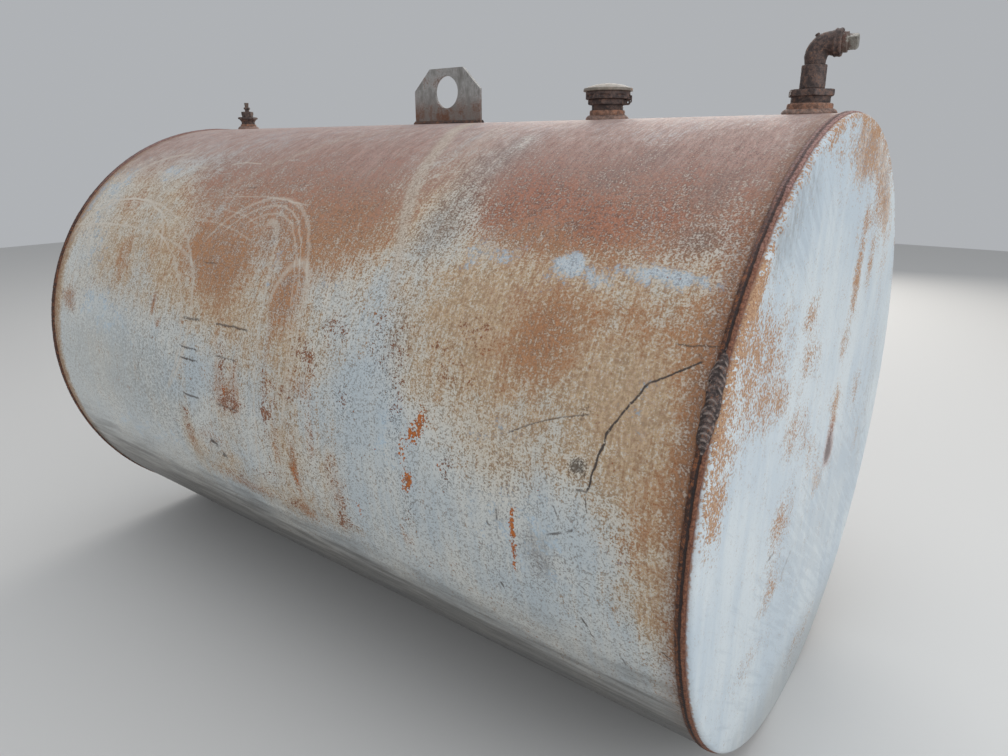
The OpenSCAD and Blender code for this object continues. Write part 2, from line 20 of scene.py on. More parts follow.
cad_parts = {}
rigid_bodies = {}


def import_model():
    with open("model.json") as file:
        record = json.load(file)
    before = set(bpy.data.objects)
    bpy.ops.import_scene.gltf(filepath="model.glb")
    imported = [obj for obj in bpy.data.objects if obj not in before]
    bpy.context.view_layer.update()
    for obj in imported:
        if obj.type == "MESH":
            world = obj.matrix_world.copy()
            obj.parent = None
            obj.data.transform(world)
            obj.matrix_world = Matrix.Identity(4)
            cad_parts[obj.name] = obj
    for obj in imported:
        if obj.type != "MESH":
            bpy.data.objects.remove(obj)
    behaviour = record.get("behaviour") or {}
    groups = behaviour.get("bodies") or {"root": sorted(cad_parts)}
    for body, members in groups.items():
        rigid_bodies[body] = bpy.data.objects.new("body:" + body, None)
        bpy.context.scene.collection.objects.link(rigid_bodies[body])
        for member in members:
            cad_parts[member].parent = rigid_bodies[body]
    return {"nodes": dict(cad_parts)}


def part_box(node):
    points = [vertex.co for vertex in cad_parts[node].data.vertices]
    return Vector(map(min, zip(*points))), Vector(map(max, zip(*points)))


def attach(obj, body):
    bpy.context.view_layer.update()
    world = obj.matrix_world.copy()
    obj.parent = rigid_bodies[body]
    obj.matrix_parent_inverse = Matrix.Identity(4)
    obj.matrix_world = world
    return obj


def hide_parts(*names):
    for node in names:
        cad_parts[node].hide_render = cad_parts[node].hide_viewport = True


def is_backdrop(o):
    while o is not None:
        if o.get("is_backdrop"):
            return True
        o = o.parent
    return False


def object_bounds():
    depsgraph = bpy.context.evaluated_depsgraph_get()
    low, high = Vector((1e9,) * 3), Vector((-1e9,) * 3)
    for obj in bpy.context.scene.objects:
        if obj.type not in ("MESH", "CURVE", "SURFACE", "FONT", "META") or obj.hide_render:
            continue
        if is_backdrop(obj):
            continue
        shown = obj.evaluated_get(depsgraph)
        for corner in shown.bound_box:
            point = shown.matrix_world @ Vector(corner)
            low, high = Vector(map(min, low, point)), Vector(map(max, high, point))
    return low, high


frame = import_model()
CAD_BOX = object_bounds()

LOG = logging.getLogger("tank")
MM = 0.001
BODY = "root"
REPAIR_FROM = 16.2
REPAIR_TO = 29.8
REPAIR_PITCH = 0.0088
REPAIR_WIDTH = 0.0205
JOINT_DEGREES = 140
PLATE_WALL = 0.0048
FULL_TURN = 2 * math.pi
FAR_HEAD_SEED = 31
Colour = tuple[float, float, float, float]
Array = np.ndarray
Row = tuple[float, ...]


def colour(red: float, green: float, blue: float) -> Colour:
    """Turns a display colour of 0 to 255 a channel into the linear colour that a shader takes.

    Args:
        red: Red as seen on a screen.
        green: Green as seen on a screen.
        blue: Blue as seen on a screen.

    Returns:
        Linear red, green and blue, with alpha 1.
    """
    linear = [((c / 255 + 0.055) / 1.055) ** 2.4 if c > 10.3 else c / 255 / 12.92 for c in (red, green, blue)]
    return (linear[0], linear[1], linear[2], 1.0)


# ---------------------------------------------------------------- node desk


def operator_of(operation: str, swapped: bool = False) -> Callable[..., "Wire"]:
    """Makes the method of one operator on wires.

    Args:
        operation: The Math node's operation.
        swapped: Whether the wire stands on the right of the sign.

    Returns:
        The method.
    """

    def method(self: "Wire", other: Any = 0.0) -> "Wire":
        """Adds one Math node."""
        first, second = (other, self) if swapped else (self, other)
        return self.desk.node("ShaderNodeMath", {"operation": operation}, {0: first, 1: second})

    return method


class Wire:
    """One output of a node, with the usual arithmetic for numbers."""

    __add__, __radd__ = operator_of("ADD"), operator_of("ADD", True)
    __sub__, __rsub__ = operator_of("SUBTRACT"), operator_of("SUBTRACT", True)
    __mul__, __rmul__ = operator_of("MULTIPLY"), operator_of("MULTIPLY", True)
    __truediv__, __pow__ = operator_of("DIVIDE"), operator_of("POWER")
    __abs__, at_least, at_most = operator_of("ABSOLUTE"), operator_of("MAXIMUM"), operator_of("MINIMUM")

    def __init__(self, desk: "Desk", socket: bpy.types.NodeSocket) -> None:
        """Keeps the desk that adds further nodes, and the socket."""
        self.desk = desk
        self.socket = socket


class Desk:
    """Adds nodes to one tree, and hands back their outputs as wires."""

    def __init__(self, tree: bpy.types.NodeTree) -> None:
        """Keeps the tree."""
        self.tree = tree

    def node(
        self, kind: str, settings: dict[str, Any] | None = None, inputs: dict[Any, Any] | None = None, output: Any = 0
    ) -> Wire:
        """Adds one node of any type.

        Args:
            kind: The node's type name.
            settings: The node's own properties, set before anything else.
            inputs: Values or wires, by the socket's name or number.
            output: The output that is wanted, by name or number.

        Returns:
            That output.
        """
        made = self.tree.nodes.new(kind)
        for name, value in (settings or {}).items():
            setattr(made, name, value)
        for key, value in (inputs or {}).items():
            if isinstance(value, Wire):
                self.tree.links.new(value.socket, made.inputs[key])
            else:
                made.inputs[key].default_value = value
        return Wire(self, made.outputs[output])

    def split(self, vector: Wire) -> tuple[Wire, Wire, Wire]:
        """The three numbers of a vector."""
        first = self.node("ShaderNodeSeparateXYZ", None, {0: vector})
        made = first.socket.node
        return first, Wire(self, made.outputs[1]), Wire(self, made.outputs[2])

    def join(self, x: Any, y: Any, z: Any) -> Wire:
        """A vector of three numbers."""
        return self.node("ShaderNodeCombineXYZ", None, {0: x, 1: y, 2: z})

    def vector(self, operation: str, first: Any, second: Any = (0.0, 0.0, 0.0), output: int = 0) -> Wire:
        """Adds one Vector Math node; output 1 is its number, as for LENGTH."""
        return self.node("ShaderNodeVectorMath", {"operation": operation}, {0: first, 1: second}, output)

    def stretch(self, vector: Wire, scale: tuple[float, float, float]) -> Wire:
        """The vector with each part times its own number."""
        return self.vector("MULTIPLY", vector, scale)

    def noise(self, place: Wire, scale: float, detail: float = 3.0, rough: float = 0.55, swirl: float = 0.0) -> Wire:
        """Soft noise about 0.5, with blotches of roughly 1 / scale metres."""
        return self.node(
            "ShaderNodeTexNoise",
            None,
            {"Vector": place, "Scale": scale, "Detail": detail, "Roughness": rough, "Distortion": swirl},
        )

    def rise(self, value: Wire, low: Any, high: Any) -> Wire:
        """0 below low, 1 above high, and a smooth step between them."""
        return self.node(
            "ShaderNodeMapRange", {"interpolation_type": "SMOOTHSTEP"},
            {"Value": value, 1: low, 2: high, 3: 0.0, 4: 1.0},
        )

    def mix(self, share: Any, first: Any, second: Any, blend: str = "MIX") -> Wire:
        """A mix of two colours."""
        settings = {"data_type": "RGBA", "blend_type": blend, "clamp_factor": True}
        return self.node("ShaderNodeMix", settings, {0: share, 6: first, 7: second}, 2)

    def tones(self, value: Wire, low: float, high: float, first: Sequence[float], second: Sequence[float]) -> Wire:
        """The first display colour where the value is below low, and the second where it is above high."""
        return self.mix(self.rise(value, low, high), colour(*first), colour(*second))

    def turn(self, y: Wire, z: Wire) -> Wire:
        """The angle round the drum in radians, from the front."""
        return self.node("ShaderNodeMath", {"operation": "ARCTAN2"}, {0: z - DRUM.axis_z, 1: 0.0 - y})

    def layer(self, name: str) -> Wire:
        """A number that the piece's mesh holds at its points."""
        return self.node("ShaderNodeAttribute", {"attribute_name": name}, None, "Fac")


# ---------------------------------------------------------------- sizes and marks


@dataclass(frozen=True)
class Drum:
    """The tank's main sizes, as the frame has them."""

    radius: float
    axis_z: float
    shell_x: float
    head_x: float

    @classmethod
    def from_frame(cls) -> "Drum":
        """Reads the sizes from the shell's and the near head's boxes."""
        low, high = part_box("shell")
        radius = (high[1] - low[1]) / 2
        return cls(radius, high[2] - radius, high[0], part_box("head_near")[1][0])

    @property
    def crest(self) -> float:
        """The height of the shell's top line."""
        return self.axis_z + self.radius

    def girth(self, x: Any, degrees: Any, lift: Any = 0.0) -> Array:
        """A point on the shell, or a row of points.

        Args:
            x: Place along the tank.
            degrees: Angle round it: 0 at the front, 90 on the crest, 180 at the back.
            lift: Height off the plate.

        Returns:
            The points, one a row.
        """
        angle = np.radians(np.asarray(degrees, float))
        reach = self.radius + np.asarray(lift, float)
        across, up = -reach * np.cos(angle), self.axis_z + reach * np.sin(angle)
        return np.stack(np.broadcast_arrays(np.asarray(x, float), across, up), axis=-1)


DRUM = Drum.from_frame()
ARC_MM = DRUM.radius * math.radians(1) / MM


@dataclass(frozen=True)
class Stain:
    """A soft patch on a plate, in millimetres on that plate's own two directions."""

    along: float
    around: float
    half_along: float
    half_around: float
    strength: float = 1.0
    turn: float = 0.0

    def weight(self, along: Array, around: Array) -> Array:
        """How much of the patch is at each point, from 0 to its strength."""
        swing = math.radians(self.turn)
        a, b = along - self.along, around - self.around
        p = (a * math.cos(swing) + b * math.sin(swing)) / self.half_along
        q = (b * math.cos(swing) - a * math.sin(swing)) / self.half_around
        return self.strength * np.exp(-(p * p + q * q) ** 1.2 * 0.8)


@dataclass(frozen=True)
class Swath:
    """A soft band along a line of points, in millimetres on a plate."""

    points: tuple[tuple[float, float], ...]
    half_widths: tuple[float, ...]
    strength: float = 1.0

    def weight(self, along: Array, around: Array) -> Array:
        """How much of the band is at each point, from 0 to its strength."""
        best = np.zeros_like(along)
        for k in range(len(self.points) - 1):
            (x0, s0), (x1, s1) = self.points[k], self.points[k + 1]
            dx, ds = x1 - x0, s1 - s0
            t = np.clip(((along - x0) * dx + (around - s0) * ds) / (dx * dx + ds * ds), 0, 1)
            gap = np.hypot(along - x0 - t * dx, around - s0 - t * ds)
            width = self.half_widths[k] * (1 - t) + self.half_widths[k + 1] * t
            best = np.maximum(best, np.exp(-((gap / width) ** 3) * 0.7))
        return self.strength * best


def cover(marks: Sequence[Row | Stain | Swath], along: Array, around: Array, pitch: float = 1.0) -> Array:
    """The share of a plate that overlapping marks cover.

    Args:
        marks: The marks; a plain row holds a stain's numbers.
        along: First place of each point, in millimetres.
        around: Second place of each point, in millimetres.
        pitch: Millimetres for one step of a row's second place and second half width.

    Returns:
        A number from 0 to 1 for each point.
    """
    left = np.ones_like(along)
    for mark in marks:
        if isinstance(mark, tuple):
            mark = Stain(mark[0], mark[1] * pitch, mark[2], mark[3] * pitch, *mark[4:])
        left *= 1 - np.clip(mark.weight(along, around), 0, 1)
    return 1 - left


def trail(points: Sequence[tuple[float, float]], half_widths: Sequence[float], strength: float = 1.0) -> Swath:
    """A band on the shell, placed by angles round the drum."""
    return Swath(tuple((x, d * ARC_MM) for x, d in points), tuple(half_widths), strength)


# ---------------------------------------------------------------- meshes


def new_piece(name: str, points: Array, faces: Sequence[Sequence[int]], smooth: bool = True) -> bpy.types.Object:
    """Makes an object at the origin from points and faces.

    Args:
        name: The piece's name.
        points: One point a row.
        faces: Rings of point numbers.
        smooth: Whether its faces shade smoothly.

    Returns:
        The object, linked to the scene.
    """
    mesh = bpy.data.meshes.new(name)
    mesh.from_pydata(points.tolist(), [], faces)
    mesh.update()
    if smooth:
        mesh.shade_smooth()
    return linked(name, mesh)


def face_outwards(piece: bpy.types.Object) -> None:
    """Turns every face of a closed mesh outwards."""
    work = bmesh.new()
    work.from_mesh(piece.data)
    bmesh.ops.recalc_face_normals(work, faces=work.faces)
    work.to_mesh(piece.data)
    work.free()
    piece.data.update()


def grid_faces(rows: int, columns: int, start: int = 0, flip: bool = False) -> list[list[int]]:
    """Four-sided faces over a grid of points, stored row by row, whose last column joins the first.

    Args:
        rows: Rows of points.
        columns: Points in a row.
        start: Number of the grid's first point.
        flip: Whether the faces turn the other way.

    Returns:
        The faces.
    """
    faces = []
    for row in range(start, start + (rows - 1) * columns, columns):
        for c in range(columns):
            d = (c + 1) % columns
            ring = [row + c, row + d, row + columns + d, row + columns + c]
            faces.append(ring[::-1] if flip else ring)
    return faces


def store_layer(piece: bpy.types.Object, name: str, values: Array) -> None:
    """Stores one number a point on the mesh, for a material to read."""
    layer = piece.data.attributes.new(name, "FLOAT", "POINT")
    layer.data.foreach_set("value", np.ascontiguousarray(values, dtype=np.float32))


def linked(name: str, data: bpy.types.ID) -> bpy.types.Object:
    """Makes an object of a mesh, lamp or camera and links it to the scene."""
    made = bpy.data.objects.new(name, data)
    bpy.context.scene.collection.objects.link(made)
    return made


def shader_of(tree: bpy.types.NodeTree, kind: str = "BSDF_PRINCIPLED") -> bpy.types.Node:
    """The tree's own shader."""
    return next(n for n in tree.nodes if n.type == kind)


def points_of(piece: bpy.types.Object) -> Array:
    """The mesh's points, one a row."""
    flat = np.empty(len(piece.data.vertices) * 3, dtype=np.float32)
    piece.data.vertices.foreach_get("co", flat)
    return flat.reshape(-1, 3).astype(float)


def settle(piece: bpy.types.Object, finish: bpy.types.Material | None, slot: str, *nodes: str) -> None:
    """Gives a finished piece its material and its body, and hides the CAD nodes that it stands for.

    Args:
        piece: The object.
        finish: Its material, or None where the mesh has it already.
        slot: The record's material slot; not used.
        nodes: CAD nodes that it replaces.
    """
    if finish is not None:
        piece.data.materials.clear()
        piece.data.materials.append(finish)
    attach(piece, BODY)
    if nodes:
        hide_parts(*nodes)


def dress(node: str, finish: bpy.types.Material) -> None:
    """Gives a CAD node that stays its material."""
    for place in frame["nodes"][node].material_slots:
        place.material = finish


# ---------------------------------------------------------------- finishes


@dataclass
class Surface:
    """What a finish feeds its shader."""

    colour: Wire
    roughness: Any
    metallic: Any = 0.0
    height: Wire | None = None
    depth: float = 0.001


@dataclass(frozen=True)
class Finish:
    """A finish with a name; each kind works out its own surface."""

    name: str

    def surface(self, desk: Desk, place: Wire) -> Surface:
        """Works out colour, roughness and relief at a place on the object."""
        raise NotImplementedError

    def make(self) -> bpy.types.Material:
        """Builds the material."""
        material = bpy.data.materials.new(self.name)
        material.use_nodes = True
        desk = Desk(material.node_tree)
        shader = shader_of(material.node_tree)
        place = desk.node("ShaderNodeTexCoord", None, None, "Object")
        got = self.surface(desk, place)
        for name, value in (("Base Color", got.colour), ("Roughness", got.roughness), ("Metallic", got.metallic)):
            if isinstance(value, Wire):
                material.node_tree.links.new(value.socket, shader.inputs[name])
            else:
                shader.inputs[name].default_value = value
        if got.height is not None:
            bump = desk.node(
                "ShaderNodeBump", None, {"Strength": 1.0, "Distance": got.depth, "Height": got.height}, "Normal",
            )
            material.node_tree.links.new(bump.socket, shader.inputs["Normal"])
        return material


@dataclass(frozen=True)
class RustedIron(Finish):
    """Threaded fittings and welds: dark iron with brown scale and orange bloom."""

    dark: Colour = colour(62, 52, 50)
    mid: Colour = colour(98, 80, 74)
    bloom: Colour = colour(134, 100, 80)
    bloom_share: float = 0.35
    grain: float = 260.0
    relief: float = 0.0006

    def surface(self, desk: Desk, place: Wire) -> Surface:
        """Scale in three browns, rougher where the rust blooms."""
        fine = desk.noise(place, self.grain * 3, 3, 0.6)
        patch = desk.noise(place, self.grain * 0.45, 4, 0.6, 0.4)
        pits = desk.noise(place, self.grain * 1.3, 2, 0.5)
        base = desk.mix(desk.rise(patch + (fine - 0.5) * 0.5, 0.38, 0.62), self.dark, self.mid)
        edge = 0.72 - self.bloom_share * 0.3
        bloom = desk.rise(patch * 0.5 + pits * 0.5 + (fine - 0.5) * 0.4, edge - 0.08, edge + 0.08)
        shade = desk.mix(bloom, base, self.bloom)
        dull = desk.mix(desk.rise(fine, 0.3, 0.5), desk.mix(0.35, shade, (0.0, 0.0, 0.0, 1.0)), shade)
        return Surface(dull, 0.62 + bloom * 0.25, 0.25 - bloom * 0.2, fine * 0.4 + pits * 0.9 + patch, self.relief)


@dataclass(frozen=True)
class RingWeld(RustedIron):
    """The ring welds: rusty, with an undercut groove darkened by painted shadow, a redder strip towards the head, and
    painted sheen that makes them paler on the crest.
    """

    def surface(self, desk: Desk, place: Wire) -> Surface:
        """Adds the groove with its painted shadow, the strip and the painted sheen on the crest to the rusty weld."""
        got = super().surface(desk, place)
        x, _, z = desk.split(place)
        sway = desk.noise(place, 36, 3, 0.6)
        grain = desk.noise(place, 300, 2, 0.6)
        off = abs(x) - DRUM.shell_x + (sway - 0.5) * 0.005
        # painted sheen: the weld turns paler and pinker towards the crest
        pale = desk.rise((z - DRUM.axis_z) / DRUM.radius + (sway - 0.5) * 0.3, 0.55, 1.0)
        shade = desk.mix(
            desk.rise(off, 0.003, 0.005) * 0.65, got.colour,
            desk.tones(grain, 0.4, 0.6, (100, 58, 42), (148, 100, 76)),
        )
        shade = desk.mix(pale * 0.6, shade, desk.tones(grain, 0.4, 0.6, (128, 98, 96), (184, 154, 150)))
        # a groove along the undercut, darkened with painted shadow
        line = 1 - desk.rise(abs(off - 0.0020), 0.0011, 0.0028)
        got.colour = desk.mix(line * (0.9 - pale * 0.35), shade, colour(36, 29, 30))
        got.height = got.height - line * 2.5
        return got


@dataclass(frozen=True)
class RepairScale(RustedIron):
    """The repair bead: grey scale, with painted highlight on the crests of its ripples and painted shade in the
    troughs between them.
    """

    start: float = REPAIR_FROM
    pitch: float = REPAIR_PITCH
    width: float = REPAIR_WIDTH

    def surface(self, desk: Desk, place: Wire) -> Surface:
        """Adds the painted highlight on the ripples' crests and the painted shade in their troughs to the scale."""
        got = super().surface(desk, place)
        x, y, z = desk.split(place)
        grain = desk.noise(place, 240, 2, 0.6)
        turn = desk.turn(y, z)
        off = x - (DRUM.shell_x + 0.002)
        blotch = desk.noise(place, 90, 3, 0.6)
        run = (turn - math.radians(self.start)) * DRUM.radius + off * off * (1.6 / self.width)
        run = run + (grain - 0.5) * 0.004 + (blotch - 0.5) * 0.006
        lobe = abs(desk.node("ShaderNodeMath", {"operation": "SINE"}, {0: run * (math.pi / self.pitch)}))
        # painted highlight on the ripples' crests
        crest = desk.rise(lobe, 0.75, 1.0) * desk.rise(blotch + (grain - 0.5) * 0.6, 0.42, 0.58)
        got.colour = desk.mix(crest * 0.6, got.colour, colour(160, 146, 138))
        # painted shade in the troughs between the ripples
        got.colour = desk.mix((1 - desk.rise(lobe, 0.0, 0.4)) * 0.45, got.colour, colour(40, 33, 33))
        return got


@dataclass(frozen=True)
class GreyMetal(Finish):
    """Bare grey metal of a lid, a lug or a plug's worn end, with rust from one side and in freckles."""

    light: Colour = colour(176, 174, 168)
    dark: Colour = colour(116, 113, 108)
    rust: Colour = colour(128, 84, 60)
    rust_from: float = 0.0
    rust_to: float = 0.0
    freckles: float = 0.3
    rust_share: float = 0.55
    axis: int = 2
    grain: float = 240.0
    metal: float = 0.35
    flow: tuple[float, float, float] = (1.0, 1.0, 1.0)

    def surface(self, desk: Desk, place: Wire) -> Surface:
        """Mottled grey; the rust is full below rust_from on its axis, and thins out up to rust_to."""
        height = desk.split(place)[self.axis]
        fine = desk.noise(place, self.grain * 2.2, 3, 0.65)
        patch = desk.noise(desk.stretch(place, self.flow), self.grain * 0.4, 4, 0.6)
        broad = desk.noise(place, self.grain * 0.1, 3, 0.6)
        grey = desk.mix(desk.rise(patch * 0.6 + broad * 0.4 + (fine - 0.5) * 0.5, 0.38, 0.62), self.dark, self.light)
        low = 1 - desk.rise(height + (broad - 0.5) * 0.06 + (patch - 0.5) * 0.03, self.rust_from, self.rust_to)
        stain = low * desk.rise(broad + (fine - 0.5) * 0.6, 0.95 - self.rust_share, 1.17 - self.rust_share)
        shade = desk.mix(stain * self.rust_share, grey, desk.mix(0.35, self.rust, self.light))
        specks = desk.rise(
            fine + (patch - 0.5) * 0.5 + (broad - 0.5) * 0.4 + self.freckles * 0.12 + low * 0.2, 0.62, 0.7,
        )
        shade = desk.mix(
            specks, shade, desk.mix(desk.rise(broad, 0.42, 0.58), desk.mix(0.5, self.rust, self.dark), self.rust),
        )
        return Surface(shade, 0.5 + specks * 0.3, self.metal - specks * self.metal, fine * 0.4 + patch, 0.0004)


@dataclass(frozen=True)
class Arc:
    """A thin scuff along part of an ellipse on the shell, in millimetres, kept on the side that keep points to."""

    along: float
    around: float
    half_along: float
    half_around: float
    keep: tuple[float, float]
    keep_from: float = 0.0
    half_width: float = 5.0
    strength: float = 0.6

    def share(self, desk: Desk, x: Wire, s: Wire) -> Wire:
        """How much of the scuff shows at a place on the shell."""
        p, q = (x - self.along) / self.half_along, (s - self.around) / self.half_around
        off = abs((p * p + q * q) ** 0.5 - 1) * min(self.half_along, self.half_around)
        line = 1 - desk.rise(off, self.half_width * 0.25, self.half_width)
        side = p * self.keep[0] + q * self.keep[1]
        return line * desk.rise(side, self.keep_from, self.keep_from + 0.2) * self.strength


@dataclass(frozen=True)
class Dash:
    """A thin straight mark between two places on the shell, in millimetres, which may bow to one side."""

    start: tuple[float, float]
    stop: tuple[float, float]
    half_width: float = 2.5
    bow: float = 0.0
    strength: float = 0.8

    def share(self, desk: Desk, x: Wire, s: Wire) -> Wire:
        """How much of the mark shows at a place on the shell."""
        dx, ds = self.stop[0] - self.start[0], self.stop[1] - self.start[1]
        length = math.hypot(dx, ds)
        dx, ds = dx / length, ds / length
        run = (x - self.start[0]) * dx + (s - self.start[1]) * ds
        off = (s - self.start[1]) * dx - (x - self.start[0]) * ds
        if self.bow:
            share = run / length
            off = off - share * (1 - share) * (4 * self.bow)
        line = 1 - desk.rise(abs(off), self.half_width * 0.3, self.half_width)
        fade = min(10.0, length / 4)
        return line * desk.rise(run, 0, fade) * (1 - desk.rise(run, length - fade, length)) * self.strength


def arc(x: float, degrees: float, half_x: float, half_degrees: float, keep: tuple[float, float], *rest: float) -> Arc:
    """A scuff on the shell, placed by its angle round the drum."""
    return Arc(x, degrees * ARC_MM, half_x, half_degrees * ARC_MM, keep, *rest)


def dash(x0: float, degrees0: float, x1: float, degrees1: float, *rest: float) -> Dash:
    """A straight mark on the shell, placed by angles round the drum."""
    return Dash((x0, degrees0 * ARC_MM), (x1, degrees1 * ARC_MM), *rest)


# arcs and dashes as rubbed through by chains and loads, and the dark scratches
PALE_SCUFFS: tuple[Arc | Dash, ...] = (
    arc(-105, 18, 228, 29, (0.6, 1), 0.0, 6.0, 0.4), arc(-100, 15, 208, 30, (0.8, 1), 0.1, 3.0, 0.5),
    arc(-90, 12, 190, 31, (1, 0.8), 0.2, 3.0, 0.4), arc(-85, 10, 86, 31, (1, 0.4), 0.1, 4.0, 0.5),
    arc(70, 22, 58, 11, (0, 1), 0.1, 8.0, 0.5), arc(-700, 30, 235, 14, (0, 1), 0.0, 5.0, 0.6),
    arc(-690, 31, 250, 12, (0, 1), 0.3, 3.0, 0.5), arc(-715, 27, 420, 9, (0, 1), 0.1, 4.0, 0.45),
    arc(-700, 17, 440, 27, (1, 0.8), 0.2, 5.0, 0.5), arc(-690, 14, 400, 24, (1, 0.8), 0.3, 3.5, 0.45),
    arc(-640, 42, 235, 20, (-1, 0.3), 0.3, 9.0, 0.45), arc(-560, 40, 250, 16, (-1, 0.6), 0.2, 5.0, 0.35),
    dash(-420, 57, -290, 57.5, 4.0, 8.0, 0.55), dash(-330, 46, 0, 45.5, 3.0, 14.0, 0.4),
    dash(-300, 43, -80, 38, 3.0, 12.0, 0.35), dash(-900, 34, -640, 36, 4.0, 10.0, 0.45),
    dash(-860, 52, -820, 36, 9.0, 6.0, 0.4), dash(-360, 40, -120, 36, 3.0, 8.0, 0.35),
)
DARK_MARKS: tuple[Arc | Dash, ...] = (
    dash(938, 28, 866, 23.6, 2.2, 1.0, 1.0), dash(872, 24.2, 821, 16, 2.4, -2.0, 1.0),
    dash(825, 17.2, 803, 7.0, 2.8, -1.0, 1.0), dash(957, 30.0, 885, 29.2, 2.0, 1.0, 0.7),
    dash(650, 12.2, 795, 18.0, 2.0, 7.0, 0.6), dash(-290, 17.4, -216, 17.6, 4.0, 0.0, 0.7),
    dash(-162, 17.6, -34, 17.8, 3.5, 3.0, 0.75), dash(-300, 11.2, -214, 11.2, 3.2, 0.0, 0.8),
    dash(-150, 11.2, -62, 11.3, 2.6, 0.0, 0.6), dash(-290, 8.8, -214, 8.8, 3.2, 0.0, 0.85),
    dash(-288, 0.8, -212, 0.7, 3.6, 0.0, 0.8), dash(-150, 0.9, -60, 1.0, 3.0, 0.0, 0.45),
    dash(-262, 30.0, -214, 30.0, 3.0, 0.0, 0.6), dash(-262, 49.2, -222, 49.6, 2.6, 0.0, 0.6),
    dash(-208, -8.6, -172, -9.8, 9.0, 0.0, 0.9), dash(-168, -11.2, -146, -12.0, 9.0, 0.0, 0.85),
    dash(780, 7, 806, 7.4, 2.6, 2.0, 0.6), dash(737, -1.1, 768, 0.3, 3.0, 0.0, 0.75),
    dash(768, 0.3, 784, 1.4, 3.0, -2.0, 0.7), dash(746, 4.2, 754, 2.2, 2.0, 2.0, 0.7),
    dash(641, 0.6, 643, -1.8, 2.2, 1.0, 0.6), dash(619, -1.9, 628, -3.3, 3.0, 0.0, 0.7),
    dash(636, -13.4, 644, -14.8, 3.2, 0.0, 0.8), dash(703, -10.2, 741, -11.4, 1.6, 0.0, 0.6),
    dash(793, -13.6, 804, -15.4, 3.2, 0.0, 0.85), dash(804, -15.6, 816, -17.4, 1.8, 0.0, 0.7),
    dash(855, -18.0, 867, -20.6, 2.0, 0.0, 0.7), dash(926, -13.5, 954, -14.7, 2.0, 1.0, 0.75),
    dash(793, -7.3, 808, -8.0, 1.8, 0.0, 0.6), dash(804, 7.2, 807, 4.0, 1.8, -2.0, 0.75),
    dash(-520, -3, -450, 8, 2.0, 5.0, 0.35),
)


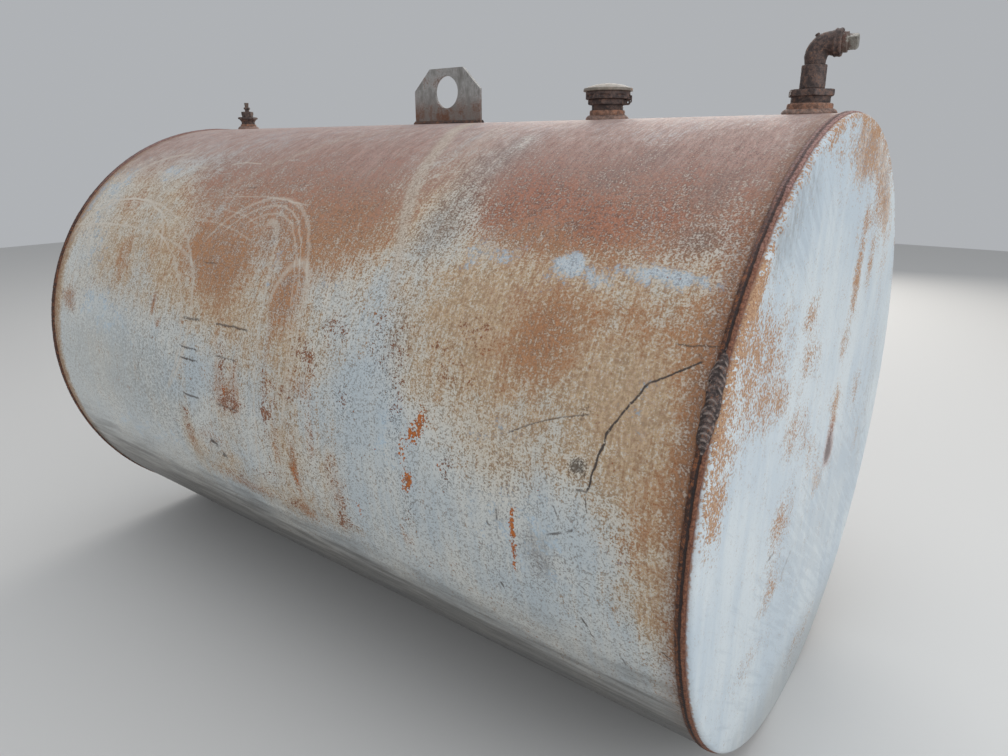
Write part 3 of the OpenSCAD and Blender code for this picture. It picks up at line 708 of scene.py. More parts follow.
@dataclass(frozen=True)
class TankPaint(Finish):
    """Pale blue-grey paint on the shell, speckled with rust of three hues, with chalk, scuffs, road dirt darkened by
    painted shade under the belly, and painted sheen on the crest.
    """

    def surface(self, desk: Desk, place: Wire) -> Surface:
        """Lays the paint, then each kind of rust and mark over it, with painted sheen on the crest and painted shade
        under the belly.
        """
        x, y, z = desk.split(place)
        fine = desk.noise(place, 320, 2, 0.7)
        grain = desk.noise(place, 165, 3, 0.6)
        mottle = desk.noise(place, 30, 3, 0.6)
        cloud = desk.noise(place, 6, 3, 0.5)
        streak = desk.noise(desk.stretch(place, (70, 6.0, 6.0)), 1, 4, 0.65)
        fibre = desk.noise(desk.stretch(place, (230, 34.0, 34.0)), 1, 2, 0.6)
        lift = (z - DRUM.axis_z) / DRUM.radius
        tan, brown = desk.layer("tan") + (cloud - 0.5) * 0.5, desk.layer("brown") + (cloud - 0.5) * 0.4
        speckle = (fine - 0.5) * 2.0 + (grain - 0.5) * 1.0 + (mottle - 0.5) * 0.8
        speckle = speckle + (streak - 0.5) * 0.6 + (fibre - 0.5) * 0.7
        shade = self._paint(desk, fine, grain, cloud, streak)
        shade = desk.mix(desk.rise(0.0 - x, 0.25, 0.8) * 0.45, shade, colour(218, 218, 212))
        shade = desk.mix(desk.rise(tan + (mottle - 0.5) * 0.4, 0.05, 0.8) * 0.62, shade, colour(196, 178, 150))
        shade = desk.mix(desk.rise(brown + (mottle - 0.5) * 0.4, 0.15, 0.8) * 0.8, shade, colour(170, 142, 124))
        tan_share = desk.rise(tan + speckle, 0.34, 0.76)
        ochre = desk.tones(fine, 0.38, 0.62, (150, 104, 62), (204, 172, 130))
        shade = desk.mix(tan_share * 0.75, shade, ochre)
        brown_share = desk.rise(brown + speckle, 0.3, 0.78)
        bright = desk.rise(mottle * 0.2 + fibre * 0.3 + fine * 0.5 + (grain - 0.5) * 0.7, 0.43, 0.57)
        low_rust = desk.mix(bright, colour(98, 58, 38), colour(192, 136, 92))
        # the rust turns pinker towards the crest: partly its own hue, partly painted sheen
        high_rust_and_sheen = desk.mix(bright, colour(92, 58, 50), colour(178, 126, 106))
        warm = desk.mix(desk.rise(lift + (mottle - 0.5) * 0.3, 0.55, 0.85), low_rust, high_rust_and_sheen)
        shade = desk.mix(brown_share * 0.8, shade, warm)
        # purple-brown rust over the crest, its pale lavender end a painted sheen
        crest = desk.rise(lift + (cloud - 0.5) * 0.2 + (streak - 0.5) * 0.16, 0.72, 0.97)
        plum_rust_and_sheen = desk.tones(
            grain * 0.5 + streak * 0.2 + fine * 0.3 + (fine - 0.5) * 0.7, 0.42, 0.58, (112, 78, 74), (196, 165, 154),
        )
        shade = desk.mix(crest * desk.rise(speckle, -0.9, 0.0) * 0.9, shade, plum_rust_and_sheen)
        ember = desk.rise(desk.layer("ember") + speckle * 0.55 + (cloud - 0.5) * 0.4, 0.25, 0.85)
        shade = desk.mix(ember * 0.55, shade, desk.mix(bright, colour(98, 54, 44), colour(180, 112, 84)))
        shade = desk.mix(
            desk.rise(desk.layer("smoke") + speckle * 0.6, 0.25, 0.95) * 0.6, shade, colour(112, 106, 104),
        )
        wash = desk.rise(desk.layer("wash") + (streak - 0.5) * 0.6 + (fine - 0.5) * 0.9, 0.15, 0.95)
        shade = desk.mix(wash * 0.7, shade, colour(190, 176, 160))
        fresh = desk.rise(
            desk.layer("fresh") + (mottle - 0.5) * 1.3 + (grain - 0.5) * 1.1 + (fine - 0.5) * 0.7, 0.42, 0.62,
        )
        shade = desk.mix(fresh * 0.8, shade, colour(184, 202, 214))
        flakes = desk.rise(
            desk.layer("flakes") * 0.42 + mottle * 0.4 + streak * 0.1 + (grain - 0.5) * 0.8 + (fine - 0.5) * 0.5,
            0.54, 0.6,
        )
        shade = desk.mix(flakes * desk.layer("flakes"), shade, colour(214, 208, 200))
        specks = desk.rise(desk.layer("specks") * 0.32 + grain * 0.4 + fine * 0.5 + (mottle - 0.5) * 0.45, 0.65, 0.72)
        shade = desk.mix(specks * 0.9, shade, desk.tones(fine, 0.4, 0.6, (104, 60, 42), (158, 98, 60)))
        chips = desk.rise(
            desk.layer("orange") * 0.7 + (grain - 0.5) * 1.6 + (mottle - 0.5) * 0.7 + (fine - 0.5) * 0.7, 0.42, 0.48,
        )
        shade = desk.mix(chips, shade, desk.tones(grain, 0.4, 0.6, (140, 78, 36), (190, 108, 46)))
        seam = desk.rise(
            abs(x) + (grain - 0.5) * 0.02 + (mottle - 0.5) * 0.03, DRUM.shell_x - 0.05, DRUM.shell_x - 0.006,
        )
        shade = desk.mix(seam * 0.55, shade, desk.mix(bright, colour(92, 58, 44), colour(140, 98, 70)))
        grit = fine + (grain - 0.5) * 0.5 + (fibre - 0.5) * 0.3
        gritty = desk.rise(tan.at_least(brown).at_least(desk.layer("specks")), 0.0, 0.45) * 0.7 + 0.3
        shade = desk.mix(desk.rise(grit, 0.5, 0.62) * gritty * 0.7, shade, desk.mix(0.55, shade, colour(52, 38, 32)))
        shade = desk.mix(
            (1 - desk.rise(grit, 0.36, 0.47)) * gritty * 0.5, shade, desk.mix(0.5, shade, colour(226, 214, 198)),
        )
        shade = self._scratches(desk, shade, x, y, z, grain, mottle)
        soot = desk.rise(desk.layer("soot") + speckle * 0.6, 0.4, 0.8)
        shade = desk.mix(soot * 0.8, shade, colour(72, 68, 64))
        scrape = desk.noise(desk.stretch(place, (5.0, 46.0, 46.0)), 1, 4, 0.7)
        # road dirt under the belly, with painted shade that darkens it more towards the floor
        splash_and_shade_level = lift + desk.rise(x, -0.1, 0.5) * 0.02 + (scrape - 0.5) * 0.3
        splash_and_shade_level = splash_and_shade_level + (cloud - 0.5) * 0.16 + (fine - 0.5) * 0.08
        dirt_and_shade = 1 - desk.rise(splash_and_shade_level, -0.53, -0.24)
        smudge = desk.rise(scrape + (grain - 0.5) * 0.3, 0.36, 0.64)
        deep_shade = desk.rise(0.0 - lift, 0.38, 0.7)
        dust_and_shade = desk.mix(smudge, colour(94, 90, 85), colour(138, 134, 127))
        mud_and_shade = desk.mix(smudge, colour(44, 41, 39), colour(80, 76, 72))
        shade = desk.mix(dirt_and_shade * 0.9, shade, desk.mix(deep_shade, dust_and_shade, mud_and_shade))
        rim = desk.rise(abs(x) + (grain - 0.5) * 0.006, DRUM.shell_x - 0.0105, DRUM.shell_x - 0.0065)
        shade = desk.mix(rim * 0.5, shade, colour(96, 62, 46))
        rusty = brown_share.at_least(tan_share * 0.6).at_least(crest * 0.45).at_least(chips).at_least(specks)
        return Surface(shade, 0.44 + rusty * 0.34, 0.0, fine * rusty * 0.8 + grain * rusty * 0.6 + fine * 0.2, 0.0007)

    @staticmethod
    def _paint(desk: Desk, fine: Wire, grain: Wire, cloud: Wire, streak: Wire) -> Wire:
        """The paint itself, with dark pepper and the mottled lower left."""
        shade = desk.tones(cloud + (streak - 0.5) * 0.5, 0.3, 0.7, (184, 194, 199), (206, 207, 202))
        pepper = desk.rise(fine + (grain - 0.5) * 0.8, 0.5, 0.66)
        shade = desk.mix(pepper * 0.55, shade, colour(118, 110, 100))
        moss = desk.rise(desk.layer("moss") * 0.3 + grain * 0.6 + fine * 0.2, 0.57, 0.7)
        return desk.mix(moss * 0.4, shade, colour(116, 120, 118))

    @staticmethod
    def _scratches(desk: Desk, shade: Wire, x: Wire, y: Wire, z: Wire, grain: Wire, mottle: Wire) -> Wire:
        """Adds the pale scuffs and the dark marks, which waver and break up."""
        along = x * 1000 + (mottle - 0.5) * 16
        turn = desk.turn(y, z)
        around = turn * (DRUM.radius / MM) + (mottle - 0.5) * 10 + (grain - 0.5) * 5
        worn = desk.rise(grain + (mottle - 0.5) * 0.6, 0.26, 0.46)
        for tint, marks in ((colour(204, 194, 180), PALE_SCUFFS), (colour(66, 56, 50), DARK_MARKS)):
            total: Any = 0.0
            for mark in marks:
                total = mark.share(desk, along, around) + total
            shade = desk.mix((total * worn).at_most(1.0), shade, tint)
        return shade


@dataclass(frozen=True)
class HeadPaint(Finish):
    """Pale blue-white paint on the heads, with rust freckles, smears and one long streak."""

    def surface(self, desk: Desk, place: Wire) -> Surface:
        """Paint, film, specks, the streak's dark core, and a darker tone towards the foot."""
        x, y, z = desk.split(place)
        fine = desk.noise(place, 420, 3, 0.65)
        dot = desk.noise(place, 230, 2, 0.6)
        grain = desk.noise(place, 120, 4, 0.6)
        mottle = desk.noise(place, 24, 4, 0.6)
        cloud = desk.noise(place, 4, 3, 0.5)
        streak = desk.noise(desk.stretch(place, (30.0, 38.0, 4.0)), 1, 4, 0.6)
        film, specks = desk.layer("film"), desk.layer("specks")
        paint = desk.tones(cloud + (streak - 0.5) * 0.5, 0.35, 0.65, (185, 196, 204), (202, 209, 212))
        paint = desk.mix(desk.rise(fine + (grain - 0.5) * 0.5, 0.54, 0.72) * 0.35, paint, colour(152, 152, 148))
        across = y * desk.rise(x, -0.1, 0.1) - y * desk.rise(0.0 - x, -0.1, 0.1)
        slant = desk.join(across * 0.8 - z * 0.6, across * 0.6 + z * 0.8, 0.0)
        brush = desk.noise(desk.stretch(slant, (7.0, 75.0, 1.0)), 1, 3, 0.6)
        paint = desk.mix(desk.rise(desk.layer("brush") * 0.3 + brush, 0.6, 0.78) * 0.26, paint, colour(146, 158, 168))
        smear = desk.rise(film + (mottle - 0.5) * 0.9 + (dot - 0.5) * 2.0 + (streak - 0.5) * 0.4, 0.5, 0.8)
        stain = desk.tones(dot * 0.4 + grain * 0.4 + streak * 0.2, 0.43, 0.57, (118, 84, 66), (200, 174, 150))
        shade = desk.mix(smear * 0.75, paint, stain)
        reach = (y * y + (z - DRUM.axis_z) * (z - DRUM.axis_z)) ** 0.5
        rim = desk.rise(reach + (mottle - 0.5) * 0.04, DRUM.radius - 0.032, DRUM.radius - 0.004)
        rim = rim * desk.rise(z, 0.6, 1.1)
        specks = specks + rim * 0.5
        dots = desk.rise(specks * 0.26 + dot * 0.7 + fine * 0.3 + (mottle - 0.5) * 0.35, 0.66, 0.72)
        rust = desk.tones(fine, 0.42, 0.58, (146, 102, 70), (186, 148, 112))
        shade = desk.mix(dots * (specks + 0.25).at_most(0.95), shade, rust)
        core = desk.rise(desk.layer("core") + (mottle - 0.5) * 0.5 + (dot - 0.5) * 0.6, 0.15, 0.75)
        shade = desk.mix(core * 0.9, shade, desk.tones(core, 0.5, 1.0, (150, 92, 66), (88, 58, 52)))
        shade = desk.mix(
            desk.rise(desk.layer("soot") + (streak - 0.5) * 1.2 + (grain - 0.5) * 0.5, 0.3, 0.9) * 0.7, shade,
            colour(104, 102, 100),
        )
        # darker towards the foot
        foot = 1 - desk.rise(z + (mottle - 0.5) * 0.12, 0.03, 0.2)
        shade = desk.mix(foot * 0.5, shade, colour(132, 128, 120))
        edge = desk.rise(0.0 - abs(x) + (grain - 0.5) * 0.012, -(DRUM.head_x - 0.006), -(DRUM.head_x - 0.010))
        shade = desk.mix(edge * 0.85, shade, desk.tones(grain, 0.4, 0.6, (112, 74, 62), (150, 110, 88)))
        rusty = smear.at_least(dots).at_least(edge)
        return Surface(shade, 0.42 + rusty * 0.35, 0.0, fine * rusty + grain * 0.3 * rusty + fine * 0.12, 0.0006)


# ---------------------------------------------------------------- the tank


def plate_waves(points: Array, size: float, seed: float) -> Array:
    """Gentle waves of a rolled plate, from about -1 to 1.

    Args:
        points: Places on the plate.
        size: Length of a wave.
        seed: Offset that picks the pattern.

    Returns:
        One number a point.
    """
    return np.array([soft_noise.noise(Vector(((p[0] + seed) / size, p[1] / size, p[2] / size))) for p in points])


@dataclass
class ShellPlate:
    """The rolled shell: a drum of plate with slight waves, worn paint and its rust marks."""

    rows: int = 170
    columns: int = 352
    wall: float = PLATE_WALL
    wave: float = 0.0010

    def build(self) -> bpy.types.Object:
        """Builds the plate as a closed tube with an inner wall."""
        xs = np.linspace(-DRUM.shell_x, DRUM.shell_x, self.rows)
        angles = np.arange(self.columns) * 360 / self.columns - 90
        grid_x, grid_a = np.meshgrid(xs, angles, indexing="ij")
        outer = DRUM.girth(grid_x.ravel(), grid_a.ravel())
        hold = self._hold(outer, grid_a.ravel())
        outer = DRUM.girth(grid_x.ravel(), grid_a.ravel(), plate_waves(outer, 0.33, 3.1) * self.wave * hold)
        outer[:, 2] = np.maximum(outer[:, 2], 0.0)
        ends = np.meshgrid([-DRUM.shell_x, DRUM.shell_x], angles, indexing="ij")
        inner = DRUM.girth(ends[0].ravel(), ends[1].ravel(), -self.wall)
        inner[:, 2] = np.maximum(inner[:, 2], self.wall)
        n, first = self.columns, self.rows * self.columns
        faces = grid_faces(self.rows, n)
        faces += grid_faces(2, n, first, flip=True)
        for c in range(n):
            d = (c + 1) % n
            faces.append([c, d, first + d, first + c][::-1])
            last = (self.rows - 1) * n
            faces.append([last + c, last + d, first + n + d, first + n + c])
        plate = new_piece("shell_plate", np.vstack([outer, inner]), faces)
        face_outwards(plate)
        return plate

    def _hold(self, points: Array, angles: Array) -> Array:
        """0 where the plate is held by a weld, a fitting or the floor, and 1 in the open."""
        ends = np.clip((DRUM.shell_x - np.abs(points[:, 0])) / 0.08, 0, 1)
        crest = np.clip((np.abs(points[:, 1]) - 0.06) / 0.08, 0, 1)
        crest = np.where(points[:, 2] > DRUM.axis_z, crest, 1.0)
        floor = np.clip((points[:, 2] - 0.01) / 0.06, 0, 1)
        seam = np.clip((np.abs(angles - JOINT_DEGREES) - 2) / 6, 0, 1)
        return ends * crest * floor * seam

    def mark(self, plate: bpy.types.Object) -> None:
        """Stores the plate's stains on its points."""
        points = points_of(plate)
        along = points[:, 0] / MM
        degrees = np.degrees(np.arctan2(points[:, 2] - DRUM.axis_z, -points[:, 1]))
        degrees = np.where(degrees < -90, degrees + 360, degrees)
        around = degrees * ARC_MM
        for name, marks in SHELL_MARKS.items():
            hidden = scattered(*BACK_STAINS[name]) if name in BACK_STAINS else []
            store_layer(plate, name, cover([*marks, *hidden], along, around, ARC_MM))


def scattered(seed: int, count: int, size: tuple[float, float], strength: tuple[float, float]) -> list[Row]:
    """Stains at random over the back of the shell, the same ones on every run.

    Args:
        seed: Picks the pattern.
        count: How many.
        size: Smallest and largest half width, in millimetres.
        strength: Weakest and strongest.

    Returns:
        The stains, as rows of SHELL_MARKS.
    """
    draw = np.random.default_rng(seed)
    rows = []
    for _ in range(count):
        half = draw.uniform(*size)
        x, degrees = draw.uniform(-930, 930), 100 + 95 * draw.random() ** 1.4
        rows.append((x, degrees, half, half * draw.uniform(0.6, 1.8) / ARC_MM, draw.uniform(*strength)))
    return rows


# seed, count, half widths in millimetres and strengths of the stains at random over the back of the shell
BACK_STAINS: dict[str, tuple[int, int, tuple[float, float], tuple[float, float]]] = {
    "brown": (5, 26, (40, 150), (0.3, 0.6)),
    "tan": (8, 30, (50, 190), (0.3, 0.6)),
    "smoke": (12, 9, (50, 120), (0.3, 0.5)),
    "ember": (44, 12, (40, 110), (0.3, 0.55)),
    "specks": (21, 10, (30, 70), (0.35, 0.6)),
}

# rows: place along, degrees round the drum, half widths along and in degrees, strength
SHELL_MARKS: dict[str, list[Row | Stain | Swath]] = {
    "brown": [
        (0, 66, 3000, 17, 0.36), (0, 114, 3000, 17, 0.36), (-180, 55, 290, 11, 0.5), (20, 58, 190, 15, 0.5),
        (130, 48, 120, 15, 0.45), (-390, 50, 90, 8, 0.45), (-200, 38, 180, 12, 0.55), (-190, 29, 110, 8, 0.55),
        (-320, 33, 80, 6, 0.35), (62, 25, 50, 7, 0.62), (40, 38, 90, 10, 0.45), (210, 42, 110, 10, 0.45),
        (690, 27, 66, 8, 0.62), (640, 24, 70, 7, 0.3), (820, 31, 90, 4, 0.4), (560, 54, 120, 13, 0.75),
        (700, 53, 160, 13, 0.75), (850, 59, 130, 15, 0.66), (520, 64, 90, 12, 0.5), (-620, 28, 40, 7, 0.5),
        (-860, 15, 44, 3.5, 0.55), (-500, 30, 40, 5, 0.25), (760, 45, 190, 5, 0.35), (930, 14, 34, 18, 0.38),
        (940, -12, 22, 10, 0.12), (905, 30, 40, 8, 0.35), (-422, 19, 9, 2.6, 0.9), (-395, 14.5, 8, 1.0, 0.8),
        (-700, 43, 70, 4, 0.35), (945, 28, 26, 24, 0.6), (954, -4, 10, 34, 0.62), (-110, 4, 50, 5, 0.5),
        (-290, -10, 18, 5, 0.5), (32, 10, 12, 14, 0.45), (62, -3, 14, 7, 0.4), (112, -6, 16, 9, 0.5),
        (150, 10, 40, 3.0, 0.45), (240, -8, 26, 8, 0.42), (180, 0, 14, 8, 0.35), (110, -18, 40, 2.4, 0.5),
        (-90, -18, 110, 1.8, 0.5), (560, 45, 70, 4, 0.3), (-140, 12, 20, 9, 0.3), (-70, 8, 16, 10, 0.35),
        (420, -13, 14, 3, 0.35), (-280, 10, 16, 6, 0.25), (-200, -8, 60, 3, 0.3), (-950, 20, 14, 50, 0.45),
        (880, 6, 30, 10, 0.3), (-740, 20, 40, 6, 0.2),
    ],
    "tan": [
        (0, 46, 3000, 22, 0.46), (0, 134, 3000, 24, 0.42), (570, 27, 130, 12, 0.6), (740, 24, 200, 13, 0.75),
        (890, 16, 90, 15, 0.75), (925, -4, 40, 14, 0.62), (870, -7, 40, 4, 0.4), (771, -12.4, 22, 2, 0.35),
        (790, 39, 190, 6, 0.2), (-600, 44, 170, 9, 0.25), (-330, 28, 220, 9, 0.4), (180, 42, 150, 10, 0.4),
        (330, 66, 100, 16, 0.4), (-60, 28, 140, 14, 0.3), (60, 4, 60, 18, 0.42), (120, 0, 50, 18, 0.35),
        (230, -4, 50, 14, 0.4), (-290, -8, 30, 14, 0.42), (-110, -2, 60, 10, 0.4), (-200, -14, 120, 5, 0.4),
        (60, -17, 220, 4, 0.45), (-640, 27, 110, 9, 0.35), (-860, 16, 80, 6, 0.3), (-955, 25, 26, 70, 0.8),
        (-955, -35, 26, 40, 0.8), (430, 22, 80, 10, 0.3), (160, 18, 120, 7, 0.3), (-560, 18, 140, 5, 0.25),
        (640, 8, 90, 5, 0.3), (-460, 32, 90, 5, 0.3), (-940, 10, 26, 46, 0.7), (-200, 22, 200, 6, 0.35),
        (-60, 12, 180, 8, 0.3), (-700, 27, 120, 6, 0.3),
    ],
    "smoke": [
        (385, 52, 60, 20, 0.55), (385, 20, 42, 8, 0.55), (-60, 38, 40, 6, 0.5), (700, 62, 60, 6, 0.3),
        (870, 45, 80, 5, 0.35), (720, -2, 80, 9, 0.4), (640, 8, 60, 5, 0.25), (-480, 58, 130, 6, 0.4),
        (-800, 60, 140, 5, 0.3), (-620, 47, 90, 5, 0.35), (770, 53, 50, 4, 0.35), (430, 70, 40, 10, 0.35),
        (662, 55.3, 50, 4, 0.5), (865, 56, 40, 3.5, 0.5), (858, 51.5, 36, 3, 0.45), (873, 44.2, 36, 2.5, 0.5),
        (733, 62, 36, 3.5, 0.4), (730, -6, 26, 3, 0.6), (708, -3.4, 26, 2.6, 0.5), (645, -0.8, 22, 2.6, 0.5),
        (419, 46, 60, 7, 0.4), (379, 42, 50, 5, 0.4), (440, 61, 60, 6, 0.35),
    ],
    "moss": [(-660, 2, 330, 17, 1.0), (-380, -4, 160, 14, 0.6), (-850, 30, 90, 10, 0.5), (-300, 14, 260, 10, 0.3)],
    "wash": [
        trail(
            [(150, 84), (185, 74), (220, 66), (262, 52), (300, 43), (328, 36), (345, 29)],
            [18, 18, 19, 18, 16, 12, 8], 0.85,
        ),
        trail([(10, 76), (-120, 70), (-200, 62), (-330, 50), (-400, 40), (-480, 33)], [12, 12, 14, 15, 15, 10], 0.45),
        (300, 70, 60, 12, 0.35),
    ],
    "fresh": [
        (690, 38.6, 30, 2.0, 0.95), (745, 36.2, 28, 1.5, 0.6), (805, 39, 36, 1.3, 0.45), (880, 38, 70, 1.6, 0.5),
        (800, 37.5, 150, 3.4, 0.18), (640, 35, 60, 4, 0.2), (547, 39.5, 60, 2.6, 0.4), (490, 38, 24, 3, 0.35),
        (-850, 48, 60, 12, 0.55), (-650, 53, 55, 4, 0.55), (-790, 30, 80, 7, 0.45), (-10, 28, 18, 10, 0.42),
        (190, 29, 70, 4, 0.36), (700, -2, 140, 8, 0.4), (-660, 14, 240, 8, 0.4), (-560, -14, 300, 5, 0.4),
        (860, 20, 24, 4, 0.4), (400, 6, 60, 10, 0.4), (-930, 44, 20, 20, 0.5), (620, 12, 90, 4, 0.3),
    ],
    "ember": [
        (495, 46.5, 34, 3.4, 0.7), (545, 50, 66, 6, 0.6), (606, 51, 50, 4.5, 0.5), (720, 46, 70, 4.5, 0.7),
        (676, 49, 50, 4, 0.45), (812, 48, 44, 3.4, 0.6), (806, 56, 44, 5, 0.45), (912, 47, 24, 8, 0.45),
        (505, 58, 80, 7, 0.38), (160, 61, 60, 6, 0.35), (620, 33, 60, 4, 0.3), (690, 27, 40, 5, 0.35),
        (-150, 50, 120, 7, 0.3), (40, 50, 60, 6, 0.3), (945, 30, 14, 22, 0.45), (-420, 60, 90, 7, 0.25),
    ],
    "flakes": [
        (425, 65.5, 30, 6, 0.7), (300, 72, 60, 9, 0.6), (194, 60.2, 22, 1.6, 0.75), (421, 70, 26, 3, 0.55),
        (-190, 59.5, 26, 1.0, 0.8), (429, 57, 26, 3, 0.45), (234, 73, 30, 3, 0.55), (470, 76, 22, 5, 0.6),
        (500, 37.6, 7, 1.2, 1.0), (-650, 52.5, 34, 1.8, 0.6), (-550, 56, 60, 2, 0.45), (770, 74, 60, 6, 0.4),
        (400, 58, 40, 6, 0.4),
    ],
    "specks": [
        (150, 16, 60, 4, 0.7), (225, 22, 60, 3, 0.6), (270, 10, 28, 3, 0.6), (400, 18, 30, 8, 0.6),
        (345, 22, 30, 6, 0.5), (560, 27, 50, 4, 0.5), (490, 22, 36, 5, 0.5), (540, 18, 60, 3, 0.45),
        (-110, 2.4, 50, 2.6, 0.75), (110, 8, 60, 3, 0.6), (215, -17, 60, 3, 0.55), (-100, -16.5, 90, 3, 0.6),
        (-120, 9, 16, 9, 0.62), (-75, 8, 12, 10, 0.5), (30, 2, 10, 16, 0.5), (65, -2, 10, 8, 0.4),
        (112, -4, 11, 10, 0.65), (180, 0, 10, 9, 0.55), (225, -6, 14, 9, 0.5), (-290, -8, 14, 8, 0.45),
        (-200, -9, 60, 2, 0.5), (20, -12, 90, 2, 0.4), (-10, 2, 120, 2, 0.4), (60, -17, 50, 2.4, 0.6),
        (535, 4, 14, 4, 0.6), (640, -12, 60, 8, 0.2), (250, -7, 24, 8, 0.5), (-280, -6, 24, 6, 0.4),
        (40, 4, 24, 8, 0.45), (-130, 12, 30, 5, 0.35), (410, 8, 16, 6, 0.4), (440, -6, 18, 4, 0.4),
    ],
    "soot": [
        (783, 10.6, 19, 1.6, 0.85), (780, 18, 10, 1.8, 0.65), (262, 10.4, 9, 1.0, 0.65), (-20, -22, 60, 1.8, 0.45),
        (-190, -25, 160, 2, 0.3), (-430, -16, 20, 2, 0.35),
    ],
    "orange": [
        (470, 10, 14, 2.4, 0.95), (455, 7.6, 11, 1.8, 0.85), (430, 5, 8, 3.2, 0.85), (443, -0.8, 12, 2.2, 0.95),
        (520, 4.4, 6, 2.4, 0.7), (-115, 4.5, 16, 2.4, 0.6), (110, -9, 9, 3.4, 0.65), (296, -11, 8, 2.2, 0.75),
        trail([(672, 1), (676, -4), (671, -10)], [5, 6, 4], 0.9),
    ],
}


# ---------------------------------------------------------------- beads


@dataclass(frozen=True)
class Route:
    """The line that a weld or a thread follows, with the way out of the metal at each point."""

    points: Array
    outward: Array
    closed: bool = False

    @classmethod
    def hoop(cls, x: float, start: float, stop: float, lift: float = 0.0, sway: float = 0.0) -> "Route":
        """A hoop round the drum between two angles, which may sway to both sides."""
        angles = np.linspace(start, stop, 2 + int(abs(stop - start) * 3))
        xs = x + sway * np.sin(angles * 0.9) + sway * 0.6 * np.sin(angles * 2.3)
        points = DRUM.girth(xs, angles, lift)
        return cls(points, points - DRUM.girth(xs, angles, -1.0 + lift))

    @classmethod
    def ridge(cls, degrees: float, start: float, stop: float) -> "Route":
        """A straight line along the drum."""
        xs = np.linspace(start, stop, 60)
        points = DRUM.girth(xs, degrees)
        return cls(points, points - DRUM.girth(xs, degrees, -1.0))

    @classmethod
    def saddle(cls, x: float, radius: float, lift: float) -> "Route":
        """A closed ring where an upright pipe of that radius meets the crest."""
        turn = np.linspace(0, FULL_TURN, 180, endpoint=False)
        across = radius * np.sin(turn)
        up = DRUM.axis_z + np.sqrt(DRUM.radius**2 - across**2) + lift
        points = np.column_stack([x + radius * np.cos(turn), across, up])
        return cls(points, np.column_stack([np.cos(turn), np.sin(turn), np.ones_like(turn)]), True)

    @classmethod
    def foot(cls, x: float, length: float, across: float, lift: float) -> "Route":
        """A straight corner along the crest, on one side of an upright plate."""
        xs = np.linspace(x - length / 2, x + length / 2, 40)
        points = np.column_stack([xs, np.full(40, across), np.full(40, DRUM.crest + lift)])
        return cls(points, np.tile([0.0, math.copysign(1.0, across), 1.0], (40, 1)))

    @classmethod
    def thread(cls, x: float, radius: float, low: float, high: float, pitch: float) -> "Route":
        """A screw thread on an upright pipe, between two heights."""
        turns = (high - low) / pitch
        turn = np.linspace(0, turns * FULL_TURN, int(turns * 72))
        points = np.column_stack(
            [x + radius * np.cos(turn), radius * np.sin(turn), np.linspace(low, high, len(turn))]
        )
        return cls(points, np.column_stack([np.cos(turn), np.sin(turn), np.zeros_like(turn)]))

    def trace(self, name: str) -> bpy.types.Object:
        """Makes a mesh of the line alone, with the way out stored on its points."""
        count = len(self.points)
        edges = [(k, k + 1) for k in range(count - 1)] + ([(count - 1, 0)] if self.closed else [])
        mesh = bpy.data.meshes.new(name)
        mesh.from_pydata(self.points.tolist(), edges, [])
        unit = self.outward / np.linalg.norm(self.outward, axis=1, keepdims=True)
        layer = mesh.attributes.new("outward", "FLOAT_VECTOR", "POINT")
        layer.data.foreach_set("vector", unit.astype(np.float32).ravel())
        return linked(name, mesh)


